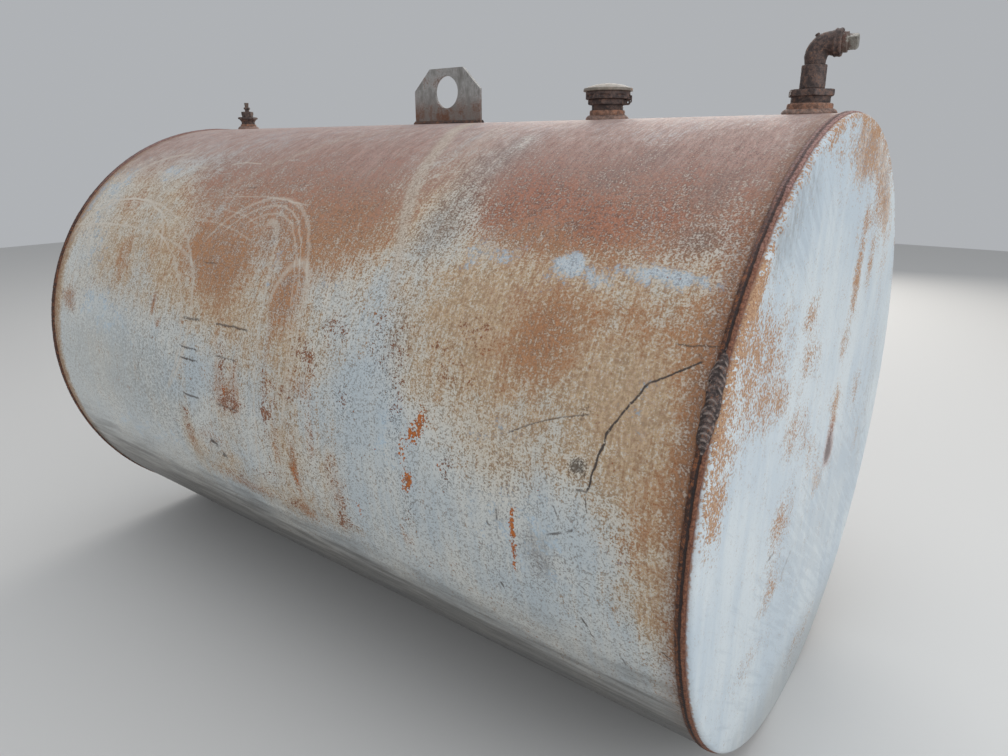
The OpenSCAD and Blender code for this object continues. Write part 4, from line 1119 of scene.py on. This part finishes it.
class BeadNodes:
    """Geometry Nodes that sweep a lumpy, rippled bead along a route."""

    SIZES = ("Width", "Height", "Step", "Ripple Pitch", "Ripple Depth", "Lump Depth", "Waver", "Taper", "Seed")
    SOCKETS = (
        ("Route", "NodeSocketGeometry"), *((name, "NodeSocketFloat") for name in SIZES),
        ("Sides", "NodeSocketInt"), ("Finish", "NodeSocketMaterial"),
    )

    def __init__(self) -> None:
        """Builds the tree once."""
        self.tree = bpy.data.node_groups.new("bead_along_a_route", "GeometryNodeTree")
        for name, kind in self.SOCKETS:
            self.tree.interface.new_socket(name, in_out="INPUT", socket_type=kind)
        self.tree.interface.new_socket("Bead", in_out="OUTPUT", socket_type="NodeSocketGeometry")
        self.ids = {i.name: i.identifier for i in self.tree.interface.items_tree if i.in_out == "INPUT"}
        self._wire()

    def _wire(self) -> None:
        """Adds and joins the nodes."""
        desk = Desk(self.tree)
        given = self.tree.nodes.new("NodeGroupInput")
        take = {name: Wire(desk, given.outputs[name]) for name, _ in self.SOCKETS}
        line = desk.node("GeometryNodeMeshToCurve", None, {0: take["Route"]})
        line = desk.node("GeometryNodeResampleCurve", {"mode": "LENGTH"}, {"Curve": line, "Length": take["Step"]})
        way_out = desk.node("GeometryNodeInputNamedAttribute", {"data_type": "FLOAT_VECTOR"}, {"Name": "outward"})
        way_out = desk.vector("NORMALIZE", way_out)
        line = desk.node("GeometryNodeSetCurveNormal", {"mode": "FREE"}, {"Curve": line, "Normal": way_out})
        run = desk.node("GeometryNodeSplineParameter", None, None, "Length")
        here = desk.node("GeometryNodeInputPosition")
        line = self._keep(desk, line, "run", "FLOAT", run)
        line = self._keep(desk, line, "core", "FLOAT_VECTOR", here)
        ring = desk.node("GeometryNodeCurvePrimitiveCircle", None, {"Resolution": take["Sides"], "Radius": 1.0})
        size = desk.join(take["Height"], take["Width"] / 2, 1.0)
        ring = desk.node("GeometryNodeTransform", None, {"Geometry": ring, "Scale": size})
        total = desk.node("GeometryNodeSplineLength", None, None, "Length")
        thin = desk.rise(run.at_most(total - run), -0.001, take["Taper"]) * 0.75 + 0.25
        waver = (1 + (self._noise(desk, here, 55.0, take["Seed"]) - 0.5) * take["Waver"]) * thin
        sweep = {"Curve": line, "Profile Curve": ring, "Scale": waver, "Fill Caps": True}
        bead = desk.node("GeometryNodeCurveToMesh", None, sweep)
        kept_run = desk.node("GeometryNodeInputNamedAttribute", {"data_type": "FLOAT"}, {"Name": "run"})
        core = desk.node("GeometryNodeInputNamedAttribute", {"data_type": "FLOAT_VECTOR"}, {"Name": "core"})
        arm = desk.vector("SUBTRACT", here, core)
        above = desk.vector("DOT_PRODUCT", arm, way_out, 1)
        reach = desk.vector("LENGTH", arm, output=1)
        side = (reach * reach - above * above).at_least(0.0)
        bow = side * 1.6 / take["Width"]
        lobe = abs(
            desk.node("ShaderNodeMath", {"operation": "SINE"}, {0: (kept_run + bow) / take["Ripple Pitch"] * math.pi})
        )
        lump = self._noise(desk, here, 150.0, take["Seed"]) - 0.5
        push = lobe * take["Ripple Depth"] + lump * take["Lump Depth"]
        push = push * desk.rise(above / take["Height"], -0.1, 0.5)
        offset = desk.vector("SCALE", way_out)
        self.tree.links.new(push.socket, offset.socket.node.inputs["Scale"])
        bead = desk.node("GeometryNodeSetPosition", None, {"Geometry": bead, "Offset": offset})
        bead = desk.node("GeometryNodeSetShadeSmooth", None, {0: bead, "Shade Smooth": True})
        bead = desk.node("GeometryNodeRealizeInstances", None, {0: bead})
        bead = desk.node("GeometryNodeSetMaterial", None, {"Geometry": bead, "Material": take["Finish"]})
        self.tree.links.new(bead.socket, self.tree.nodes.new("NodeGroupOutput").inputs[0])

    @staticmethod
    def _keep(desk: Desk, line: Wire, name: str, kind: str, value: Wire) -> Wire:
        """Stores a value on the line's points under a name."""
        settings = {"data_type": kind, "domain": "POINT"}
        return desk.node(
            "GeometryNodeStoreNamedAttribute", settings, {"Geometry": line, "Name": name, "Value": value},
        )

    @staticmethod
    def _noise(desk: Desk, place: Wire, scale: float, seed: Wire) -> Wire:
        """Soft noise about 0.5 that the seed moves on."""
        inputs = {"Vector": place, "W": seed, "Scale": scale, "Detail": 2.0}
        return desk.node("ShaderNodeTexNoise", {"noise_dimensions": "4D"}, inputs)

    def lay(self, name: str, route: Route, finish: bpy.types.Material, **sizes: Any) -> bpy.types.Object:
        """Makes one bead as a plain mesh.

        Args:
            name: The piece's name.
            route: The line it follows.
            finish: Its material.
            **sizes: Values of the tree's inputs, by their names with _ for spaces.

        Returns:
            The bead, at the origin.
        """
        line = route.trace(name + "_route")
        modifier = line.modifiers.new("bead", "NODES")
        modifier.node_group = self.tree
        chosen = {
            "step": 0.0015, "sides": 14, "ripple_pitch": 0.006, "ripple_depth": 0.0, "lump_depth": 0.0, "waver": 0.0,
            "taper": 0.0, "seed": 1.0,
        }
        chosen.update(sizes)
        for key, value in chosen.items():
            modifier[self.ids[key.replace("_", " ").title()]] = value
        modifier[self.ids["Finish"]] = finish
        graph = bpy.context.evaluated_depsgraph_get()
        mesh = bpy.data.meshes.new_from_object(line.evaluated_get(graph), depsgraph=graph)
        for spare in ("outward", "run", "core"):
            if spare in mesh.attributes:
                mesh.attributes.remove(mesh.attributes[spare])
        mesh.name = name
        bpy.data.objects.remove(line)
        bead = linked(name, mesh)
        face_outwards(bead)
        return bead

    def weld(
        self, name: str, route: Route, finish: bpy.types.Material, form: str, slot: str, *nodes: str, **more: float
    ) -> bpy.types.Object:
        """Lays and settles one weld bead.

        Args:
            name: The piece's name.
            route: The line it follows.
            finish: Its material.
            form: Its row in BEAD_FORMS.
            slot: The record's material slot.
            *nodes: CAD nodes that it replaces.
            **more: Further values of the tree's inputs.

        Returns:
            The bead.
        """
        keys = ("width", "height", "ripple_pitch", "ripple_depth", "lump_depth")
        bead = self.lay(name, route, finish, **dict(zip(keys, BEAD_FORMS[form])), **more)
        settle(bead, None, slot, *nodes)
        return bead


# width, height, ripple pitch, ripple depth and lump depth of each kind of weld bead
BEAD_FORMS = {
    "ring": (0.0158, 0.0024, 0.0062, 0.0009, 0.0022),
    "repair": (REPAIR_WIDTH, 0.0038, REPAIR_PITCH, 0.0024, 0.0024),
    "seam": (0.0105, 0.0014, 0.005, 0.0006, 0.0008),
    "foot": (0.0105, 0.0024, 0.0058, 0.0010, 0.0016),
    "collar": (0.0125, 0.0026, 0.0055, 0.0009, 0.0014),
}


# ---------------------------------------------------------------- heads, lug and fittings


class Side(Enum):
    """Which end of the tank a piece is at."""

    NEAR = 1
    FAR = -1

    @property
    def word(self) -> str:
        """The end's name in a node."""
        return self.name.lower()


@dataclass
class FlangedHead:
    """A flat head with a rounded edge and a short flange, slightly waved, with its stains."""

    side: Side
    knuckle: float = 0.009
    flange: float = 0.017
    wall: float = PLATE_WALL
    spokes: int = 300
    rings: int = 54
    wave: float = 0.0014

    def build(self) -> bpy.types.Object:
        """Builds the head as a closed cup."""
        outer = self._profile(DRUM.radius, self.knuckle, 0.0, self.rings)
        inner = self._profile(DRUM.radius - self.wall, self.knuckle - self.wall, self.wall, 8)[::-1]
        profile = np.array(outer + inner)
        turn = np.arange(self.spokes) * FULL_TURN / self.spokes
        radius, depth = np.repeat(profile[:, 0], self.spokes), np.repeat(profile[:, 1], self.spokes)
        turns = np.tile(turn, len(profile))
        points = np.column_stack([depth, -radius * np.cos(turns), DRUM.axis_z + radius * np.sin(turns)])
        points = self._settled(points, len(outer) * self.spokes)
        points[:, 0] = self.side.value * (DRUM.head_x - points[:, 0])
        faces = grid_faces(len(profile), self.spokes)
        hub = [list(range(self.spokes)), list(range(len(points) - self.spokes, len(points)))]
        head = new_piece(f"head_{self.side.word}_plate", points, faces)
        work = bmesh.new()
        work.from_mesh(head.data)
        work.verts.ensure_lookup_table()
        for ring in hub:
            centre = sum((work.verts[k].co for k in ring), Vector()) / len(ring)
            tip = work.verts.new(centre)
            work.verts.ensure_lookup_table()
            for k, first in enumerate(ring):
                work.faces.new((work.verts[first], work.verts[ring[(k + 1) % len(ring)]], tip)).smooth = True
        bmesh.ops.recalc_face_normals(work, faces=work.faces)
        work.to_mesh(head.data)
        work.free()
        return head

    def _profile(self, radius: float, knuckle: float, depth: float, rings: int) -> list[tuple[float, float]]:
        """Radius and depth behind the face, from the centre to the flange's end."""
        flat = [(r, depth) for r in np.linspace(0.012, radius - knuckle, rings)]
        bend = [math.radians(a) for a in (15, 30, 45, 60, 75, 90)]
        curve = [(radius - knuckle * (1 - math.sin(a)), depth + knuckle * (1 - math.cos(a))) for a in bend]
        return flat + curve + [(radius, self.flange)]

    def _settled(self, points: Array, outside: int) -> Array:
        """Waves the face, and cuts the cup off at the floor."""
        reach = np.hypot(points[:, 1], points[:, 2] - DRUM.axis_z)
        hold = np.clip((DRUM.radius - 0.03 - reach) / 0.12, 0, 1)
        waves = plate_waves(points, 0.42, 7.7 * self.side.value)
        points[:, 0] += waves * self.wave * hold
        floor = np.where(np.arange(len(points)) < outside, 0.0, self.wall)
        points[:, 2] = np.maximum(points[:, 2], floor)
        return points

    def mark(self, head: bpy.types.Object) -> None:
        """Stores the head's stains on its points."""
        points = points_of(head)
        across, up = points[:, 1] / MM * self.side.value, points[:, 2] / MM
        marks = NEAR_HEAD_MARKS if self.side is Side.NEAR else self._hidden_marks()
        for name in NEAR_HEAD_MARKS:
            store_layer(head, name, cover(marks.get(name, []), across, up))

    @staticmethod
    def _hidden_marks() -> dict[str, list[Stain | Swath]]:
        """Stains of the head that the photograph doesn't show: rust from the rim down, and road dirt low down."""
        draw = np.random.default_rng(FAR_HEAD_SEED)
        marks: dict[str, list[Stain | Swath]] = {"film": [], "specks": [Stain(0, 600, 900, 700, 0.25)], "soot": []}
        for _ in range(26):
            turn, half = draw.uniform(-10, 190), draw.uniform(30, 110)
            reach = 640 - 330 * draw.random() ** 1.7
            y, z = reach * math.cos(math.radians(turn)), DRUM.axis_z / MM + reach * math.sin(math.radians(turn))
            marks["specks"].append(Stain(y, z, half, half * draw.uniform(0.5, 1.3), draw.uniform(0.4, 0.8)))
        for _ in range(9):
            y, z, half = draw.uniform(-420, 420), draw.uniform(450, 1130), draw.uniform(30, 90)
            marks["film"].append(Stain(y, z, half, half * draw.uniform(1.0, 2.4), draw.uniform(0.4, 0.8)))
        marks["soot"] += [Stain(-260, 1080, 180, 60, 0.4, 25), Stain(180, 420, 160, 50, 0.3)]
        marks["brush"] = [Stain(-200, 500, 330, 220, 0.8), Stain(260, 900, 200, 160, 0.6)]
        return marks


# rows: places across and up, half widths across and up, strength, turn in degrees
NEAR_HEAD_MARKS: dict[str, list[Row | Stain | Swath]] = {
    "specks": [
        (-480, 860, 110, 70, 0.6), (-550, 780, 50, 90, 0.6), (-565, 680, 40, 60, 0.85), (-315, 775, 55, 34, 0.8),
        (-390, 890, 150, 70, 0.42), (-400, 800, 130, 60, 0.45), (-190, 890, 40, 30, 0.7), (-150, 810, 60, 40, 0.65),
        (-190, 690, 70, 45, 0.6), (-210, 520, 70, 60, 0.65), (105, 785, 34, 34, 0.85), (-150, 1160, 50, 30, 0.6),
        (-220, 390, 60, 40, 0.6), (-60, 610, 110, 30, 0.4, -40), (150, 1025, 50, 24, 0.7), (300, 640, 60, 50, 0.5),
        (-300, 280, 120, 40, 0.35), (60, 100, 90, 50, 0.4), (0, 600, 900, 700, 0.22), (240, 1060, 160, 60, 0.6, -35),
        (-520, 990, 60, 160, 0.5, 35), (132, 920, 28, 76, 0.95), (236, 935, 26, 56, 0.85), (50, 1150, 120, 60, 0.6),
        (100, 640, 40, 60, 0.6),
    ],
    "film": [
        (50, 1155, 130, 70, 1.0), (160, 1140, 90, 50, 0.8, -20), (290, 1060, 130, 55, 0.95, -40),
        (-530, 1000, 60, 200, 0.3, 35), (100, 640, 50, 80, 0.75), (35, 505, 55, 50, 0.6),
        (-80, 600, 150, 30, 0.45, -38), (385, 880, 45, 130, 0.5), (430, 700, 80, 80, 0.4), (400, 510, 90, 60, 0.5),
        (130, 910, 36, 80, 0.95), (240, 930, 34, 60, 0.8), (185, 985, 60, 20, 0.45), (60, 1000, 50, 24, 0.4),
        (110, 110, 140, 50, 0.4), (-260, 1120, 330, 36, 0.35, 28),
    ],
    "core": [(100, 552, 38, 34, 0.85), (98, 604, 34, 32, 0.45)],
    "soot": [
        (-330, 1070, 170, 60, 0.55, 30), (-248, 468, 22, 5, 0.9), Swath(((-160, 385), (-110, 410)), (4, 4), 0.7),
        (490, 475, 16, 5, 0.6), (-60, 500, 120, 30, 0.3, -20), (120, 870, 20, 14, 0.5), (470, 620, 120, 380, 0.4),
    ],
    "brush": [
        (240, 420, 330, 170, 1.0), (-330, 1060, 180, 90, 0.8), (-100, 400, 200, 60, 0.7), (0, 250, 500, 160, 0.5),
    ],
}


@dataclass
class LiftingLug:
    """The lug: thick plate with sloped corners and a hole, all cut by torch."""

    length: float = 0.211
    top_length: float = 0.106
    shoulder: float = 0.078
    height: float = 0.1275
    thickness: float = 0.008
    hole_radius: float = 0.03675
    hole_height: float = 0.073
    spokes: int = 420

    def build(self) -> bpy.types.Object:
        """Builds the plate as one closed ring of strips round its hole."""
        low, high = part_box("lifting_lug")
        centre = np.array([(low[0] + high[0]) / 2, 0.0, high[2] - self.height + self.hole_height])
        turn = np.arange(self.spokes) * FULL_TURN / self.spokes
        rim = np.array([self._reach(a) for a in turn])
        half = self.thickness / 2
        rows: list[tuple[Array, float, float]] = []
        cut = np.linspace(-1, 1, 7)
        rows += [(np.full_like(turn, self.hole_radius), half * c * 0.9, 1.0) for c in cut]
        shares = (0.03, 0.2, 0.45, 0.7, 0.9, 0.985)
        rows += [(self.hole_radius + (rim - self.hole_radius) * t, half, 0.0) for t in shares]
        rows += [(rim, half * c * 0.9, 0.6) for c in cut[::-1]]
        rows += [(self.hole_radius + (rim - self.hole_radius) * t, -half, 0.0) for t in shares[::-1]]
        points = []
        for reach, side, rough in rows:
            drag = np.array([soft_noise.noise(Vector((math.cos(a) * 26, math.sin(a) * 26, side * 90))) for a in turn])
            slow = np.array([soft_noise.noise(Vector((math.cos(a) * 5 + 9, math.sin(a) * 5, 0))) for a in turn])
            reach = reach - rough * (0.0006 * np.abs(drag) + 0.0009 * np.abs(slow)) * np.where(reach > 0.05, 1, -0.9)
            points.append(
                np.column_stack([reach * np.cos(turn), np.full_like(turn, side), reach * np.sin(turn)]) + centre
            )
        faces = grid_faces(len(rows), self.spokes)
        last = (len(rows) - 1) * self.spokes
        faces += [[last + k, last + (k + 1) % self.spokes, (k + 1) % self.spokes, k] for k in range(self.spokes)]
        lug = new_piece("lug_plate", np.vstack(points), faces, smooth=False)
        face_outwards(lug)
        return lug

    def _reach(self, angle: float) -> float:
        """How far the plate's outline is from the hole's centre in a direction."""
        across, up = math.cos(angle), math.sin(angle)
        foot, top = self.hole_height, self.height - self.hole_height
        limits = [self.length / 2 / max(abs(across), 1e-9), (top if up > 0 else foot) / max(abs(up), 1e-9)]
        run, rise = (self.length - self.top_length) / 2, self.height - self.shoulder
        steep = rise * abs(across) + run * up
        if steep > 1e-9:
            limits.append((rise * self.length / 2 + run * (self.shoulder - self.hole_height)) / steep)
        return min(limits)


@dataclass(frozen=True)
class Worn:
    """A fitting's skin: how finely it is remade, and how deep its scale is."""

    node: str
    slot: str
    voxel: float = 0.0009
    depth: float = 0.0003
    size: float = 0.006

    def build(self) -> bpy.types.Object:
        """Remakes the CAD node's shape with softened edges and a scaly skin."""
        work = bmesh.new()
        work.from_mesh(frame["nodes"][self.node].data)
        bmesh.ops.remove_doubles(work, verts=work.verts, dist=0.00001)
        mesh = bpy.data.meshes.new(self.node + "_worn")
        work.to_mesh(mesh)
        work.free()
        block = linked(self.node + "_worn", mesh)
        remake = block.modifiers.new("skin", "REMESH")
        remake.mode = "VOXEL"
        remake.voxel_size = self.voxel
        graph = bpy.context.evaluated_depsgraph_get()
        skin = bpy.data.meshes.new_from_object(block.evaluated_get(graph), depsgraph=graph)
        bpy.data.objects.remove(block)
        count = len(skin.vertices)
        where, way = np.empty(count * 3, np.float32), np.empty(count * 3, np.float32)
        skin.vertices.foreach_get("co", where)
        skin.vertices.foreach_get("normal", way)
        where, way = where.reshape(-1, 3), way.reshape(-1, 3)
        scale = [
            soft_noise.noise(Vector(p) / self.size)
            + 0.5 * soft_noise.noise(Vector(p) / self.size * 2.7) for p in where
        ]
        moved = where + way * (np.array(scale)[:, None] * self.depth)
        skin.vertices.foreach_set("co", moved.astype(np.float32).ravel())
        skin.update()
        skin.shade_smooth()
        return linked(self.node + "_worn", skin)


@dataclass
class Fittings:
    """The three threaded stacks on the crest, with their threads and collar welds."""

    beads: BeadNodes
    pitch: float = 0.0022

    def build(self, finishes: dict[str, bpy.types.Material]) -> list[bpy.types.Object]:
        """Builds the worn skins, the threads and the collars' weld beads.

        Args:
            finishes: The materials by name.

        Returns:
            The pieces made.
        """
        made = []
        for worn, finish in WORN_FITTINGS:
            piece = worn.build()
            settle(piece, finishes[finish], worn.slot, worn.node)
            made.append(piece)
        for node, radius, low, high in self._threads():
            x = self._centre(node)
            route = Route.thread(x, radius, low, high, self.pitch)
            thread = self.beads.lay(node + "_thread", route, finishes["iron"], width=0.0015, height=0.0007, sides=6)
            settle(thread, None, "fitting_iron")
            made.append(thread)
        for number, collar in enumerate(("vent_collar", "riser_collar", "far_collar")):
            low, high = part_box(collar)
            route = Route.saddle((low[0] + high[0]) / 2, (high[0] - low[0]) / 2 + 0.0032, 0.0034)
            more = {"waver": 0.35, "seed": 3.0 + number}
            finish, node = finishes["foot"], collar + "_weld"
            made.append(self.beads.weld(collar + "_bead", route, finish, "collar", "rusty_weld", node, **more))
        return made

    @staticmethod
    def _centre(node: str) -> float:
        """The place along the tank of an upright piece."""
        low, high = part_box(node)
        return (low[0] + high[0]) / 2

    @staticmethod
    def _threads() -> list[tuple[str, float, float, float]]:
        """Node, radius and the two heights of each thread that shows."""
        rows = []
        for node, collar, radius, length in THREADS:
            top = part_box(collar)[1][2]
            rows.append((node, radius - 0.0001, top - 0.002, top + length - 0.0008))
        return rows


# node, collar below it, radius and length of each thread that shows
THREADS = (
    ("vent_neck", "vent_collar", 0.0325, 0.0105), ("riser_bushing", "riser_collar", 0.033, 0.0115),
    ("far_bushing", "far_collar", 0.01975, 0.0075),
)
# each worn skin with the name of its finish
WORN_FITTINGS: tuple[tuple[Worn, str], ...] = (
    (Worn("riser_collar", "collar_steel", 0.0012, 0.0003), "collar"),
    (Worn("riser_bushing", "fitting_iron", 0.0011, 0.0003), "iron"),
    (Worn("riser_coupling", "fitting_iron", 0.0010, 0.0004), "iron"),
    (Worn("riser_elbow", "fitting_iron", 0.0010, 0.0004), "iron"),
    (Worn("outlet_plug", "plug_steel", 0.0007, 0.0002), "plug"),
    (Worn("vent_collar", "collar_steel", 0.0012, 0.0003), "collar"),
    (Worn("vent_hexagon", "fitting_iron", 0.0010, 0.0003), "iron"),
    (Worn("vent_body", "fitting_iron", 0.0011, 0.0002), "iron"),
    (Worn("vent_lid", "lid_alloy", 0.0011, 0.0002), "lid"),
    (Worn("far_collar", "collar_steel", 0.0010, 0.0003), "collar"),
    (Worn("far_bushing", "fitting_iron", 0.0008, 0.0003), "iron"),
    (Worn("far_reducer", "fitting_iron", 0.0008, 0.0003), "iron"),
    (Worn("far_coupling", "fitting_iron", 0.0006, 0.0002), "iron"),
    (Worn("far_plug", "plug_steel", 0.0006, 0.0002), "plug"),
)


@dataclass
class Welds:
    """The tank's own weld beads: the two rings, the repair, the long joint and the lug's feet."""

    beads: BeadNodes

    def build(self, finishes: dict[str, bpy.types.Material]) -> list[bpy.types.Object]:
        """Lays all the beads.

        Args:
            finishes: The materials by name.

        Returns:
            The beads.
        """
        ring_x = DRUM.shell_x + 0.0015
        gap = math.degrees(math.acos(DRUM.axis_z / (DRUM.radius + 0.0045))) + 0.4
        lay, made = self.beads.weld, []
        for side in Side:
            route = Route.hoop(side.value * ring_x, gap - 90, 270 - gap)
            more = {"waver": 0.4, "seed": side.value + 5.0}
            made.append(lay(f"ring_bead_{side.word}", route, finishes["ring"], "ring", "rusty_weld", **more))
        route = Route.hoop(ring_x + 0.0005, REPAIR_FROM, REPAIR_TO, 0.0008, 0.0012)
        more = {"waver": 0.9, "taper": 0.03, "seed": 11.0}
        made.append(
            lay("repair_bead_ripples", route, finishes["repair"], "repair", "rusty_weld", "repair_bead", **more)
        )
        route = Route.ridge(JOINT_DEGREES, -DRUM.shell_x + 0.003, DRUM.shell_x - 0.003)
        more = {"waver": 0.2, "seed": 17.0}
        made.append(lay("long_bead", route, finishes["seam"], "seam", "weld_paint", "long_weld", **more))
        low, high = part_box("lifting_lug")
        for node, across in (("lug_weld_front", low[1] - 0.003), ("lug_weld_back", high[1] + 0.003)):
            route = Route.foot((low[0] + high[0]) / 2, high[0] - low[0], across, 0.0028)
            more = {"waver": 0.4, "seed": across * 900}
            made.append(lay(node + "_bead", route, finishes["weld"], "foot", "rusty_weld", node, **more))
        return made


# ---------------------------------------------------------------- studio


@dataclass(frozen=True)
class Lamp:
    """One soft panel of light that faces a point."""

    name: str
    place: tuple[float, float, float]
    aim: tuple[float, float, float]
    size: float
    watts: float
    tint: tuple[float, float, float] = (1.0, 1.0, 1.0)

    def hang(self) -> None:
        """Adds the lamp to the scene."""
        data = bpy.data.lights.new(self.name, "AREA")
        data.size = self.size
        data.energy = self.watts
        data.color = self.tint
        lamp = linked(self.name, data)
        lamp.location = self.place
        lamp.rotation_euler = (Vector(self.aim) - Vector(self.place)).to_track_quat("-Z", "Y").to_euler()


@dataclass
class Studio:
    """The floor, the soft light and the camera at the photograph's angle."""

    lens: float = 25.546
    eye: tuple[float, float, float] = (1.26885, -1.42014, 1.1563)
    yaw: float = 37.044
    pitch: float = 17.749
    floor_half: float = 9.0

    def build(self) -> None:
        """Builds all three."""
        self._floor()
        self._light()
        self._camera()

    def _floor(self) -> None:
        """Lays a plain pale floor."""
        h = self.floor_half
        corners = np.array([[-h, -h, 0], [h, -h, 0], [h, h, 0], [-h, h, 0]], float)
        floor = new_piece("studio_floor", corners, [[0, 1, 2, 3]], smooth=False)
        plain = bpy.data.materials.new("plain_floor")
        plain.use_nodes = True
        shader = shader_of(plain.node_tree)
        shader.inputs["Base Color"].default_value = colour(206, 205, 203)
        shader.inputs["Roughness"].default_value = 0.9
        floor.data.materials.append(plain)
        floor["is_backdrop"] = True

    def _light(self) -> None:
        """Hangs the lamps and sets the pale surroundings."""
        for lamp in (
            Lamp("sky_panel", (0.3, 0.6, 4.6), (0, 0, 0.6), 6.0, 95, (0.95, 0.97, 1.0)),
            Lamp("front_panel", (0.2, -5.2, 2.6), (0, 0, 0.6), 4.0, 42, (0.96, 0.98, 1.0)),
            Lamp("side_panel", (5.4, -0.6, 2.2), (0.9, 0, 0.6), 4.0, 126, (0.93, 0.97, 1.0)),
            Lamp("back_panel", (-1.5, 5.0, 2.9), (0, 0, 0.9), 4.0, 150, (1.0, 0.96, 0.9)),
        ):
            lamp.hang()
        world = bpy.data.worlds.new("pale_room")
        world.use_nodes = True
        back = shader_of(world.node_tree, "BACKGROUND")
        back.inputs["Color"].default_value = (0.86, 0.89, 0.93, 1.0)
        back.inputs["Strength"].default_value = 0.5
        bpy.context.scene.world = world

    def _camera(self) -> None:
        """Sets the camera where the photograph was taken from."""
        data = bpy.data.cameras.new("photo_camera")
        data.sensor_width = 36.0
        data.lens = self.lens
        data.clip_end = 60
        camera = linked("photo_camera", data)
        yaw, pitch = math.radians(self.yaw), math.radians(self.pitch)
        ahead = Vector((-math.sin(yaw) * math.cos(pitch), math.cos(yaw) * math.cos(pitch), -math.sin(pitch)))
        right = Vector((math.cos(yaw), math.sin(yaw), 0.0))
        up = right.cross(ahead)
        turn = Matrix((right, up, -ahead)).transposed().to_4x4()
        camera.matrix_world = Matrix.Translation(self.eye) @ turn
        bpy.context.scene.camera = camera


# kind, name, three display colours and share of bloom of each rusty finish
RUSTY_FINISHES: dict[str, tuple[Any, ...]] = {
    "weld": (RustedIron, "rusted_weld", (54, 42, 40), (92, 70, 60), (134, 88, 62), 0.45),
    "ring": (RingWeld, "rusted_ring", (60, 40, 33), (106, 68, 50), (148, 92, 56), 0.5),
    "repair": (RepairScale, "repair_scale", (58, 48, 46), (102, 88, 84), (136, 98, 78), 0.4),
    "seam": (RustedIron, "painted_seam", (124, 98, 82), (182, 166, 148), (164, 118, 84), 0.5),
    "foot": (RustedIron, "rusted_foot", (104, 84, 76), (150, 124, 112), (156, 110, 84), 0.4),
    "collar": (RustedIron, "rusted_collar", (104, 76, 63), (152, 117, 98), (158, 98, 62), 0.4),
}


def write_sizes() -> None:
    """Works out the CAD box and the visual model's box as plain lists, and keeps neither."""
    boxes = {"cad": CAD_BOX, "visual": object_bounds()}
    plain = {name: [[float(v) for v in corner] for corner in box] for name, box in boxes.items()}


def main() -> None:
    """Builds the tank piece by piece, then the studio."""
    logging.basicConfig(level=logging.INFO, format="%(message)s", stream=sys.stdout)
    bpy.context.scene.view_settings.view_transform = "Standard"
    low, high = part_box("outlet_plug")
    grip = low[0] + (high[0] - low[0]) * 0.6
    finishes = {
        "shell": TankPaint("tank_paint").make(), "head": HeadPaint("head_paint").make(),
        "iron": RustedIron("rusted_iron").make(),
        "lid": GreyMetal(
            "lid_alloy", colour(146, 138, 127), colour(112, 104, 94), rust_from=DRUM.crest - 0.2,
            rust_to=DRUM.crest - 0.1, freckles=0.2, metal=0.1,
        ).make(),
        "plug": GreyMetal(
            "plug_steel", colour(150, 148, 140), colour(96, 90, 82), colour(92, 64, 56), rust_from=grip,
            rust_to=grip + 0.006, rust_share=0.9, axis=0,
        ).make(),
        "lug": GreyMetal(
            "lug_steel", colour(172, 172, 170), colour(124, 121, 117), colour(104, 70, 52),
            rust_from=DRUM.crest + 0.01, rust_to=DRUM.crest + 0.08, freckles=0.3, flow=(1.0, 1.0, 0.35),
        ).make(),
    }
    for key, (kind, name, *tints, share) in RUSTY_FINISHES.items():
        finishes[key] = kind(name, *(colour(*tint) for tint in tints), share).make()
    shell = ShellPlate()
    plate = shell.build()
    shell.mark(plate)
    settle(plate, finishes["shell"], "shell_paint", "shell")
    LOG.info("shell plate: %d points", len(plate.data.vertices))
    for side in Side:
        head = FlangedHead(side)
        cup = head.build()
        head.mark(cup)
        settle(cup, finishes["head"], "head_paint", f"head_{side.word}")
        LOG.info("head at the %s end: %d points", side.word, len(cup.data.vertices))
    lug = LiftingLug().build()
    settle(lug, finishes["lug"], "lug_steel", "lifting_lug")
    LOG.info("lifting lug: %d points", len(lug.data.vertices))
    beads = BeadNodes()
    for piece in Welds(beads).build(finishes) + Fittings(beads).build(finishes):
        LOG.info("%s: %d faces", piece.name, len(piece.data.polygons))
    for node in ("head_weld_near", "head_weld_far"):
        dress(node, finishes["ring"])
    for node in ("riser_nipple", "vent_neck", "far_nipple"):
        dress(node, finishes["iron"])
    Studio().build()
    write_sizes()


if __name__ == "__main__":
    main()
